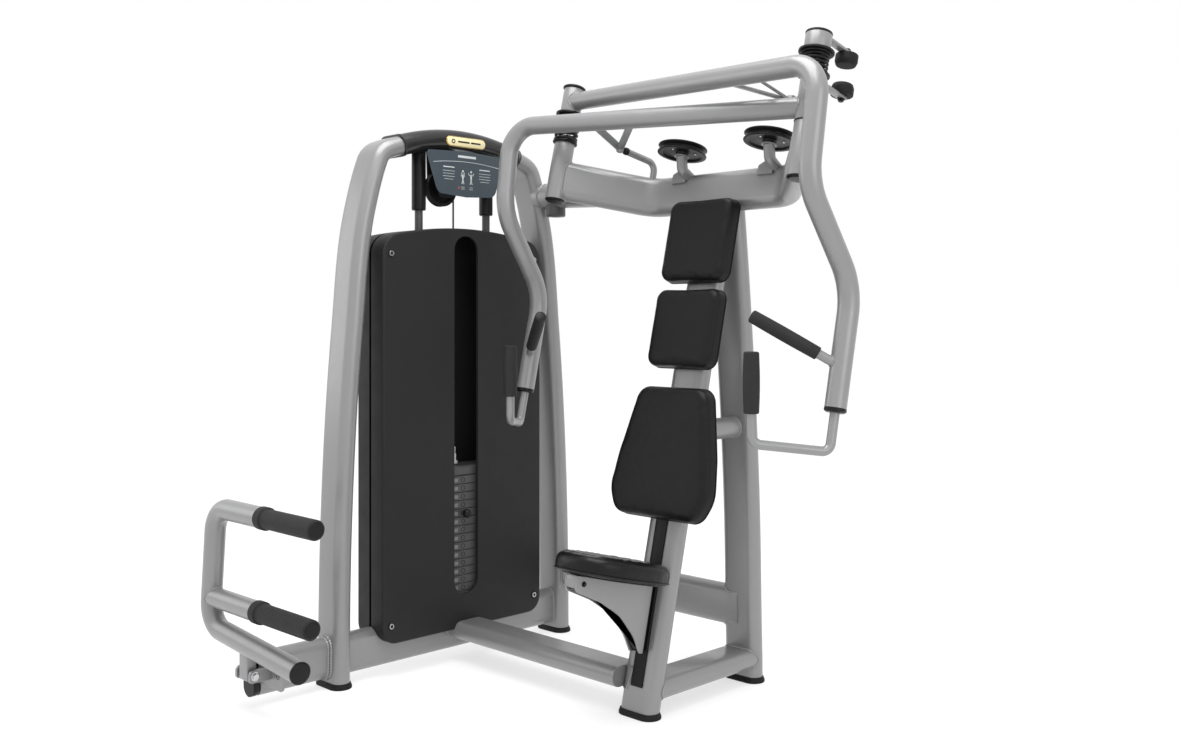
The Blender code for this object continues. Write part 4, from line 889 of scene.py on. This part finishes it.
# A black block fills the channel between the two side plates. This is painted shade for the dim inside of the
# open channel.
channel_shade_fill = stacked(bracket_side, [(0.006, 0), (0.006, 0.030)], lean(-0.015, 0, 0), LEAN_BACK, LEAN_UP)
make("channel_shade_fill", [channel_shade_fill], black_plastic, body="seat")
bracket_bolts = []
for way in (-1, 1):
    bracket_bolts += bolt(lean(way * 0.020, -0.315, 0.3285), way * X, 0.0055, 0.005)
make("bracket_bolts", bracket_bolts, black_plastic, body="seat")


def slab(low, high, corner, edge, origin=(0, 0, 0), axes=(X, Y)):
    """A block with rounded corners and edges, between two corners along two axes and their normal."""
    low, high = np.asarray(low, float), np.asarray(high, float)
    middle, half = (low + high)[:2] / 2, (high - low)[:2] / 2
    outline = box_outline(*half, corner, math.radians(18)) + middle
    levels = [(edge, low[2]), (0, low[2] + edge), (0, high[2] - edge), (edge, high[2])]
    return stacked(outline, levels, origin, *axes)


leaning = {"origin": LEAN_ORIGIN, "axes": (X, LEAN_BACK)}
carriage = slab((-0.0145, BRACKET_BACK + 0.0004, 0.170), (0.0145, -0.0328, 0.344), 0.002, 0.002, **leaning)
carriage_lip = slab((-0.021, -0.0375, 0.172), (0.021, -0.0328, 0.342), 0.001, 0.001, **leaning)
make("carriage_body", [carriage, carriage_lip], black_plastic, "seat_carriage", body="seat")
TRACK_FRONT, TRACK_LOW, TRACK_HIGH = -OVAL_SHORT - 0.004, 0.075, 0.585
track = slab((-0.0205, TRACK_FRONT, TRACK_LOW), (0.0205, -OVAL_SHORT + 0.001, TRACK_HIGH), 0.0006, 0.0012,
             **leaning)
lip_low = np.array([-0.0022, TRACK_FRONT - 0.0008, TRACK_LOW + 0.003])
lip_high = np.array([0.0022, TRACK_FRONT + 0.002, TRACK_HIGH - 0.003])
lips = [slab(lip_low + x * X, lip_high + x * X, 0.0006, 0.0008, **leaning) for x in (-0.0175, 0.0175)]
make("track_strip", [track, *lips], black_plastic, "seat_track")

# ---------------------------------------------------------------- shrouds of the tower
# Two dark graphite sheet covers with a turned-in rim stand before and behind the weight stack. The
# front one has a tall round-ended window, and screws in rubber washers hold it at its corners.
graphite_sheet = coating("graphite_sheet", (0.0150, 0.0150, 0.0156), 0.52, drift=0.06, patch=3.0,
                         grain=1500.0, relief=0.30, Specular_IOR_Level=0.22)
SHROUD_FRONT, SHROUD_BACK, SHROUD_DEPTH, SHEET = -0.738, -0.872, 0.062, 0.0025
SHROUD_HALF, SHROUD_LOW, SHROUD_HIGH, SHROUD_ARCH = 0.314, 0.100, 1.312, 0.038
WINDOW_HALF, WINDOW_LOW, WINDOW_HIGH = 0.048, 0.205, 1.327


def panel_loop(half, low, high, corner, arch):
    """A tall rounded outline whose upper half a parabola raises; each part always has as many points."""
    quarter_turn = np.linspace(0, math.pi / 2, 9)[1:-1]
    across, upright = np.linspace(-1, 1, 25), np.linspace(0, 1, 41)
    right, top, bottom = half - corner, high - corner, low + corner
    rise = bottom + (top - bottom) * upright
    parts = [
        np.stack([across * right, np.full(25, low)], -1),
        np.stack([right + corner * np.sin(quarter_turn), bottom - corner * np.cos(quarter_turn)], -1),
        np.stack([np.full(41, half), rise], -1),
        np.stack([right + corner * np.cos(quarter_turn), top + corner * np.sin(quarter_turn)], -1),
        np.stack([-across * right, np.full(25, high)], -1),
        np.stack([-right - corner * np.sin(quarter_turn), top + corner * np.cos(quarter_turn)], -1),
        np.stack([np.full(41, -half), rise[::-1]], -1),
        np.stack([-right - corner * np.cos(quarter_turn), bottom - corner * np.sin(quarter_turn)], -1),
    ]
    loop = np.concatenate(parts)
    loop[:, 1] += arch * np.clip(1 - (loop[:, 0] / half) ** 2, 0, 1) * (loop[:, 1] > (low + high) / 2)
    return loop


def cover_loop(inset):
    """The shroud's outline moved inwards."""
    return panel_loop(SHROUD_HALF - inset, SHROUD_LOW + inset, SHROUD_HIGH - inset,
                      max(0.05 - inset * 0.8, 0.012), SHROUD_ARCH)


def in_sheet(loop, x):
    """An outline (y, z) put in the plane at x."""
    return np.insert(loop, 0, x, axis=1)


def window_loop(grown):
    """The window's outline, grown outwards."""
    return panel_loop(WINDOW_HALF + grown, WINDOW_LOW - grown, WINDOW_HIGH + grown, 0.046 + grown, 0.0)


FOLD = 0.006
fold_angle = np.linspace(0, math.pi / 2, 6)
outside = [(0.0, SHROUD_DEPTH)] + [(FOLD * (1 - math.cos(a)), FOLD * (1 - math.sin(a))) for a in fold_angle]
inside = [(SHEET + inset * 0.8, max(depth, SHEET)) for inset, depth in reversed(outside)]
inner_loop, window = cover_loop(FOLD + 0.004), window_loop(0)
face = [inner_loop * (1 - share) + window * share for share in np.linspace(0, 1, 6)]
rings = [in_sheet(cover_loop(inset), SHROUD_FRONT - depth) for inset, depth in outside]
rings += [in_sheet(loop, SHROUD_FRONT) for loop in face]
rings += [in_sheet(window_loop(-0.001), SHROUD_FRONT - depth) for depth in (0.001, 0.010)]
rings.append(in_sheet(window_loop(0.001), SHROUD_FRONT - 0.010))
rings += [in_sheet(loop, SHROUD_FRONT - SHEET) for loop in reversed(face)]
rings += [in_sheet(cover_loop(inset), SHROUD_FRONT - depth) for inset, depth in inside]
make("front_cover_sheet", [skin(np.array(rings), loop=True)], graphite_sheet, "front_shroud")

back_levels = [(0.25, SHEET), (0.12, SHEET), *inside, *outside, (0.12, 0.0), (0.25, 0.0)]
back_rings = [in_sheet(cover_loop(inset), SHROUD_BACK + depth) for inset, depth in back_levels]
make("rear_cover_sheet", [skin(np.array(back_rings)[:, ::-1])], graphite_sheet, "rear_shroud")

washer_profile = [(0.002, 0), (0.0125, 0), (0.0120, 0.0016), (0.002, 0.0020)]
screw_profile = [(0.0050, 0.001), (0.0086, 0.001), (0.0080, 0.0034), (0.0050, 0.0034)]
washers, screws = [], []
for y in (-0.285, 0.285):
    for z in (0.155, 1.262):
        for face, way in ((SHROUD_FRONT, 1), (SHROUD_BACK, -1)):
            spot = np.array([face, y, z])
            washers.append(turned(washer_profile, spot, way * X, 32, soft=0.0005))
            screws.append(turned(screw_profile, spot, way * X, 32, True, 0.0004))
make("cover_screw_washers", washers, black_rubber)
make("cover_screws", screws, bright_steel)

# ---------------------------------------------------------------- weight stack
# Fifteen cast plates in dark enamel, each with a pale tick mark by its pin hole. The chosen plates
# hang with the top plate on the selector stem and rise on two guide rods with rubber buffers.
black_iron = coating("black_iron", (0.062, 0.062, 0.064), 0.48, drift=0.20, patch=24.0, grain=800.0,
                     relief=0.35, Metallic=0.25)
label_white = coating("label_white", (0.16, 0.16, 0.16), 0.5, slot="blue_grey_label", drift=0.05)
PLATE_PITCH, STACK_LOW, PLATES, SELECTED, ROD_Y = 0.026, 0.184, 15, 5, 0.135
PLATE_HALF_X, PLATE_HALF_Y = 0.050, 0.180


def weight(low, high, corner, edge):
    """A cast plate of the stack between two heights."""
    return slab((TOWER_X - PLATE_HALF_X, -PLATE_HALF_Y, low), (TOWER_X + PLATE_HALF_X, PLATE_HALF_Y, high),
                corner, edge)


# Each pin hole is drawn as a shallow black cup on the plate's face. This is painted shade in place of the dark
# inside of the hole.
pin_hole_shade_profile = [(0.0075, -0.001), (0.0075, 0.0005), (0.0062, 0.0007), (0.0055, -0.0005), (0.001, -0.0005)]
plates, ticks, holes = [], [], []
for k in range(PLATES):
    low = STACK_LOW + k * PLATE_PITCH
    plates.append(weight(low + 0.0002, low + PLATE_PITCH - 0.0004, 0.006, 0.0022))
    middle = np.array([TOWER_X + PLATE_HALF_X, 0, low + PLATE_PITCH / 2])
    ticks.append(slab(middle - (0.001, 0.038, 0.0055), middle + (0.0004, -0.020, 0.0055), 0.0006, 0.0003))
    holes.append(turned(pin_hole_shade_profile, middle, X, 24, soft=0))
resting = PLATES - SELECTED
make("resting_plate_set", plates[:resting], black_iron, "resting_plates")
make("resting_tick_marks", ticks[:resting], label_white)
make("resting_pin_hole_shades", holes[:resting], black_plastic)
make("selected_plate_set", plates[resting:], black_iron, "selected_plates", body="weight_stack")
make("selected_tick_marks", ticks[resting:], label_white, body="weight_stack")
make("selected_pin_hole_shades", holes[resting:], black_plastic, body="weight_stack")

stack_top = STACK_LOW + PLATES * PLATE_PITCH
top_low, top_high = stack_top + 0.0003, stack_top + 0.030
bush_profile = [(0.0130, 0), (0.019, 0), (0.019, 0.006), (0.0130, 0.007)]
bushes = [turned(bush_profile, (TOWER_X, y, top_high), Z, 32, True) for y in (-ROD_Y, ROD_Y)]
make("top_plate_casting", [weight(top_low, top_high, 0.010, 0.004)], black_iron, "top_plate",
     body="weight_stack")
make("top_plate_bushes", bushes, black_plastic, body="weight_stack")
STEM_TOP = top_high + 0.060
stem_profile = [(0.006, STACK_LOW + 0.006), (0.009, STACK_LOW + 0.008), (0.009, top_high + 0.002),
                (0.013, top_high + 0.002), (0.013, top_high + 0.038), (0.0105, top_high + 0.041),
                (0.0105, STEM_TOP - 0.001), (0.004, STEM_TOP)]
stem = turned(stem_profile, (TOWER_X, 0, 0), Z, 36)
nut = turned([(0.015, top_high + 0.004), (0.015, top_high + 0.014)], (TOWER_X, 0, 0), Z, 6, soft=0)
make("stem_rod", [stem, nut], bright_steel, "selector_stem", body="weight_stack")

PIN_Z = STACK_LOW + (resting + 0.5) * PLATE_PITCH
pin_start = (TOWER_X + 0.011, 0, PIN_Z)
pin_shaft = turned([(0.002, 0), (0.004, 0.002), (0.004, 0.050)], pin_start, X, 24, soft=0.0005)
knob_profile = [(0.004, 0.0455), (0.008, 0.048), (0.0130, 0.052), (0.0138, 0.058), (0.0130, 0.066),
                (0.0085, 0.0703), (0.002, 0.0712)]
pin_knob = turned(knob_profile, pin_start, X, 40, soft=0.002)
make("pin_shaft", [pin_shaft], bright_steel, body="pin")
make("pin_knob", [pin_knob], black_plastic, "selector_pin", body="pin")

ROD_RADIUS, SLEEVE_LOW = 0.0125, 1.403
arch_under = TOWER_TOP - CROWN_RADIUS + math.sqrt(CROWN_RADIUS ** 2 - ROD_Y ** 2) - OVAL_SHORT
# The guide rods are chromed steel. The black they get here is painted shade and dark reflection, because they
# look dark in the dim gap between the two shrouds.
for which, y in (("front", -ROD_Y), ("rear", ROD_Y)):
    spot = (TOWER_X, y, 0)
    shaft = [(ROD_RADIUS, BASE_Z + OVAL_LONG - 0.004), (ROD_RADIUS, SLEEVE_LOW + 0.02)]
    make(which + "_rod", [turned(shaft, spot, Z, 32, soft=0)], black_iron, which + "_guide_rod")
    buffer_low = BASE_Z + OVAL_LONG - 0.001
    buffer = [(0.014, buffer_low), (0.022, buffer_low), (0.022, 0.176), (0.018, 0.1795), (0.0126, 0.1795)]
    sleeve = [(0.0130, SLEEVE_LOW), (0.0205, SLEEVE_LOW), (0.022, SLEEVE_LOW + 0.004),
              (0.022, arch_under - 0.002), (0.01, arch_under - 0.002)]
    fittings = [turned(profile, spot, Z, 36) for profile in (buffer, sleeve)]
    make(which + "_rod_fittings", fittings, black_plastic)

TOP_PULLEY = np.array([TOWER_X, -0.050, 1.477])
CABLE_RADIUS = 0.003
cable_steel = coating("cable_jacket", (0.030, 0.030, 0.031), 0.42, slot="black_iron", drift=0.1, grain=2200.0,
                      relief=0.3)
cable_low = STEM_TOP - 0.002
cable_line = (TOWER_X, 0, 0) + np.linspace(cable_low, TOP_PULLEY[2], 28)[:, None] * Z
cable = tube(circle(CABLE_RADIUS, 14), cable_line, X, 0.0004)
hanging = make("hanging_cable", [cable], cable_steel, "stack_cable")
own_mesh(hanging)
wrap = np.linspace(0, math.pi * 0.9, 30)
wrap_line = TOP_PULLEY + 0.050 * (np.cos(wrap)[:, None] * Y + np.sin(wrap)[:, None] * Z)
make("wrapped_cable", [tube(circle(CABLE_RADIUS, 14), wrap_line, X, 0.0004)], cable_steel)
make("tower_pulley_wheel", [wheel(TOP_PULLEY, X, 0.057, 0.011, 0.010, 0.015)], black_plastic, "top_pulley",
     body="tower_pulley")
hanger_top = TOWER_TOP - OVAL_SHORT - 0.004
rise = hanger_top - TOP_PULLEY[2]
cheek_corners = [(0, -0.030), (0.030, -0.030), (0.035, rise), (-0.035, rise), (-0.030, -0.030), (0, -0.030)]
cheek = closed_outline(cheek_corners, [0.026, 0.004, 0.004, 0.026])
cheeks = [plate(cheek, 0.006, TOP_PULLEY + x * X, Y, Z) for x in (-0.030, 0.024)]
crosspiece = slab((TOWER_X - 0.029, TOP_PULLEY[1] - 0.034, hanger_top - 0.007),
                  (TOWER_X + 0.029, TOP_PULLEY[1] + 0.034, hanger_top), 0.002, 0.001)
axle = rod(TOP_PULLEY, X, 0.008, -0.032, 0.032, 28)
make("hanger_cheeks", [*cheeks, crosspiece], graphite_sheet, "pulley_hanger")
hanger_bolts = [bolt(TOP_PULLEY + way * 0.030 * X, way * X, 0.008, 0.006) for way in (-1, 1)]
make("hanger_axle", [axle, *hanger_bolts[0], *hanger_bolts[1]], bright_steel)
boss = UPPER_TIE[0] + 0.14 * tie_way - (TIE_RADIUS - 0.004) * Z
boss_profile = [(0.012, -0.026), (0.016, -0.032), (0.029, -0.032), (0.032, -0.029), (0.032, 0.004),
                (0.012, 0.012)]
make("cable_outlet", [turned(boss_profile, boss, Z, 44)], black_iron, "cable_boss")

# ---------------------------------------------------------------- top cover, placard and badge
# A glossy black moulding wraps the arch's crown. Below it hangs a printed blue-grey panel with a
# white rule, two plain figures and lines in place of text, and a small cream oval badge sits above.
gloss_plastic = coating("gloss_plastic", (0.011, 0.011, 0.012), 0.24, slot="black_plastic", drift=0.1,
                        patch=10.0, grain=600.0, relief=0.05, Specular_IOR_Level=0.5)
COVER_WALL, COVER_HALF = 0.004, 0.232
cover_path = in_tower(crown(-COVER_HALF, COVER_HALF, 32))
cover_outside = carry(oval(OVAL_LONG + COVER_WALL, OVAL_SHORT + COVER_WALL, 18), cover_path, X)
cover_inside = carry(oval(OVAL_LONG + 0.0004, OVAL_SHORT + 0.0004, 18), cover_path, X)
cover_surfaces = [skin(np.concatenate([cover_outside, cover_inside[::-1]]), loop=True)]
rim_outline = oval(OVAL_LONG + COVER_WALL + 0.0025, OVAL_SHORT + COVER_WALL + 0.0025, 18)
for side in (-1, 1):
    rim_path = in_tower(crown(side * (COVER_HALF - 0.009), side * (COVER_HALF - 0.001), 4))
    cover_surfaces.append(tube(rim_outline, rim_path, X, 0.002))
make("crown_cover", cover_surfaces, gloss_plastic, "top_cover")

placard_print = coating("placard_blue_grey", (0.034, 0.050, 0.061), 0.42, slot="blue_grey_label", drift=0.05,
                        patch=5.0, relief=0.03)
print_white = coating("print_white", (0.50, 0.53, 0.54), 0.45, slot="blue_grey_label", drift=0.04)
print_red = coating("print_red", (0.35, 0.05, 0.07), 0.45, slot="blue_grey_label", drift=0.04)
placard_outline = closed_outline(
    [(0, 1.448), (0.113, 1.455), (0.158, 1.584), (0, 1.592), (-0.158, 1.584), (-0.113, 1.455), (0, 1.448)],
    [0.03, 0.012, 0.4, 0.012, 0.03])
PLACARD_X = -0.7375
placard_levels = [(0.0006, -0.002), (0, -0.0012), (0, 0.0014), (0.0006, 0.002)]
make("placard_panel", [stacked(placard_outline, placard_levels, (PLACARD_X, 0, 0), Y, Z)], placard_print,
     "placard")
print_x = PLACARD_X + 0.0021


def printed_line(points, thick):
    """A printed stroke: a flat ribbon a hair proud of the panel, along points (y, z)."""
    line = np.insert(np.asarray(points, float), 0, print_x, axis=1)
    return tube(quarter(box_outline(0.0002, thick, 0)), line, X, 0.0001)


rule_y = np.linspace(-0.132, 0.132, 25)
white_strokes = [printed_line(np.stack([rule_y, 1.5585 - 0.55 * rule_y ** 2], -1), 0.0007),
                 printed_line([(-0.036, 1.574), (0.036, 1.574)], 0.0036)]
for side in (-1, 1):
    white_strokes.append(printed_line([(side * 0.093, 1.538), (side * 0.050, 1.538)], 0.0016))
    for k, width in enumerate((0.048, 0.044, 0.047, 0.036)):
        z = 1.526 - 0.0085 * k
        start, end = side * 0.072 - width / 2, side * 0.072 + width / 2
        white_strokes.append(printed_line([(start, z), (end, z)], 0.0006))
    # A plain figure seen from the front: a head, a body, two legs, and arms drawn in or reached out.
    middle, reach = side * 0.0165, 0.0045 if side < 0 else 0.0105
    white_strokes.append(printed_line([(middle, 1.502), (middle, 1.521)], 0.0030))
    for way in (-1, 1):
        elbow = (middle + way * 0.0075, 1.511 if side < 0 else 1.517)
        white_strokes.append(printed_line([(middle, 1.5205), elbow, (middle + way * reach, 1.5245)], 0.0011))
        white_strokes.append(printed_line([(middle, 1.504), (middle + way * 0.004, 1.489)], 0.0013))
    head = (print_x, middle, 1.5285)
    white_strokes.append(turned([(0.0034, 0), (0.0034, 0.0003)], head, X, 24, soft=0))
    for k in range(2):
        z = 1.479 - 0.006 * k
        white_strokes.append(printed_line([(middle - 0.007, z), (middle + 0.007, z)], 0.0006))
make("placard_strokes", white_strokes, print_white)
red_dot = turned([(0.0036, 0), (0.0036, 0.0003)], (print_x, -0.0325, 1.476), X, 24, soft=0)
make("placard_mark", [red_dot], print_red)

badge_cream = coating("badge_cream", (0.72, 0.64, 0.38), 0.34, slot="blue_grey_label", drift=0.05)
badge_gold = coating("badge_gold", (0.45, 0.33, 0.10), 0.30, slot="blue_grey_label", drift=0.08, Metallic=0.8)
badge_outline = quarter(oval(0.078, 0.016, 14)) * (1, -1)
badge_outline = badge_outline[::-1] + (0, 1.620)
badge_x = TOWER_X + OVAL_LONG + COVER_WALL
rim_levels = [(0.0, -0.002), (0, 0.0016), (0.0012, 0.0028), (0.0022, 0.0028)]
face_levels = [(0.0026, 0.0020), (0.0026, 0.0033), (0.0032, 0.0036)]
make("badge_plate", [stacked(badge_outline, rim_levels, (badge_x, 0, 0), Y, Z)], badge_gold, "badge")
make("badge_face", [stacked(badge_outline, face_levels, (badge_x, 0, 0), Y, Z)], badge_cream)
ring_profile = [(0.0040, 0), (0.0072, 0), (0.0072, 0.0005), (0.0040, 0.0005)]
emblem = [turned(ring_profile, (badge_x + 0.0036, -0.052, 1.620), X, 28, True, 0)]
for k, (start, end) in enumerate(((-0.034, 0.012), (0.018, 0.056))):
    emblem.append(slab((badge_x + 0.0034, start, 1.6175), (badge_x + 0.0041, end, 1.6225), 0.0002, 0.0002))
make("badge_emblem", emblem, black_plastic, slot="blue_grey_label")

# ---------------------------------------------------------------- foot pedal
# A bent lever of round tube beside the tower, hinged on a pin between the ears of a drilled plate.
# Two steps with rubber sleeves stick out of it towards the user, and a plug closes its lower end.
PEDAL_Y, PEDAL_RADIUS, AXIS_Z = -0.745, 0.029, 0.112
TOP_BAR_Z, MID_BAR_Z = 0.540, 0.287
TOP_GRIP, MID_GRIP = (-0.675, -0.410), (-0.700, -0.429)


def pedal_point(x, z):
    """A point of the pedal's plane, from its x and its height."""
    return np.array([x, PEDAL_Y, z])


lever_corners = [(TOP_GRIP[0], TOP_BAR_Z), (-0.925, TOP_BAR_Z), (-0.962, 0.206), (-0.486, 0.168)]
lever_line = bent_line([pedal_point(x, z) for x, z in lever_corners], [0.075, 0.070], math.radians(4))
middle_bar = [pedal_point(-0.949, MID_BAR_Z), pedal_point(MID_GRIP[0], MID_BAR_Z)]
upright_host = (pedal_point(-0.9535, MID_BAR_Z), (0.037, 0, 0.334), X, 0.0, PEDAL_RADIUS + 0.0008)
pedal_surfaces = [
    tube(circle(PEDAL_RADIUS, 48), lever_line, Y),
    tube(circle(PEDAL_RADIUS - 0.001, 48), middle_bar, Y),
    bead(circle(PEDAL_RADIUS - 0.001), pedal_point(-0.88, MID_BAR_Z), -X, Y, upright_host, 0.003),
    slab((-0.772, PEDAL_Y - 0.014, AXIS_Z - 0.016), (-0.728, PEDAL_Y + 0.014, 0.180), 0.003, 0.002),
]
make("pedal_bend", pedal_surfaces, silver_paint, "pedal_lever", body="pedal")
for which, (start, end), z in (("upper", TOP_GRIP, TOP_BAR_Z), ("lower", MID_GRIP, MID_BAR_Z)):
    sleeve = grip(pedal_point(start, z), pedal_point(end, z), 0.0265, 0.0268, 0.0045)
    make(f"pedal_{which}_sleeve", [sleeve], grip_rubber, f"pedal_{which}_grip", body="pedal")
    disc_profile = [(0.004, 0), (0.0215, 0), (0.0215, 0.0012), (0.018, 0.0022), (0.004, 0.0022)]
    disc = turned(disc_profile, pedal_point(end - 0.0006, z), X, 40, soft=0.0005)
    make(f"pedal_{which}_disc", [disc], black_plastic, body="pedal")
low_end = lever_line[-1]
low_way = unit(lever_line[-1] - lever_line[-2])
low_plug = turned([(0.01, -0.003), (PEDAL_RADIUS + 0.0006, -0.003), (PEDAL_RADIUS + 0.0006, 0.003),
                   (0.026, 0.0055), (0.004, 0.006)], low_end, low_way, 48)
make("pedal_plug", [low_plug], black_plastic, body="pedal")

ear_low, ear_high, ear_front, ear_back = AXIS_Z - 0.018, AXIS_Z + 0.016, PEDAL_Y - 0.016, -0.694
ear = closed_outline([(PEDAL_Y, ear_low), (ear_back, ear_low), (ear_back, ear_high), (ear_front, ear_high),
                      (ear_front, ear_low), (PEDAL_Y, ear_low)], [0.001, 0.001, 0.014, 0.014])
ears = [plate(ear, 0.010, (x, 0, 0), Y, Z) for x in (-0.790, -0.720)]
back_plate = plate(box_outline(0.098, 0.038, 0.012), 0.008, (-0.75, OUTRIGGER_END - 0.0005, 0.108), X, Z)
make("bracket_plate", [*ears, back_plate], silver_paint, "pedal_bracket")
# The two holes of the drilled plate are shallow black rings on its face. This is painted shade in place of the
# dark inside of each hole.
hole_shade_rim_profile = [(0.0075, -0.0005), (0.0075, 0.0006), (0.0062, 0.0008), (0.0058, -0.0002), (0.001, -0.0002)]
hole_y = OUTRIGGER_END - 0.0085
hole_shade_rings = [turned(hole_shade_rim_profile, (x, hole_y, 0.108), -Y, 28, soft=0) for x in (-0.826, -0.674)]
hinge_middle = pedal_point(-0.75, AXIS_Z)
hinge_surfaces = [rod(hinge_middle, X, 0.008, -0.045, 0.045, 28)]
for way in (-1, 1):
    hinge_surfaces += bolt(hinge_middle + way * 0.040 * X, way * X, 0.0095, 0.007)
make("bracket_hole_shades", hole_shade_rings, black_plastic)
make("hinge_pin", hinge_surfaces, bright_steel)

# ---------------------------------------------------------------- size and end
# The box round the visual model's shown pieces.
low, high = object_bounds()
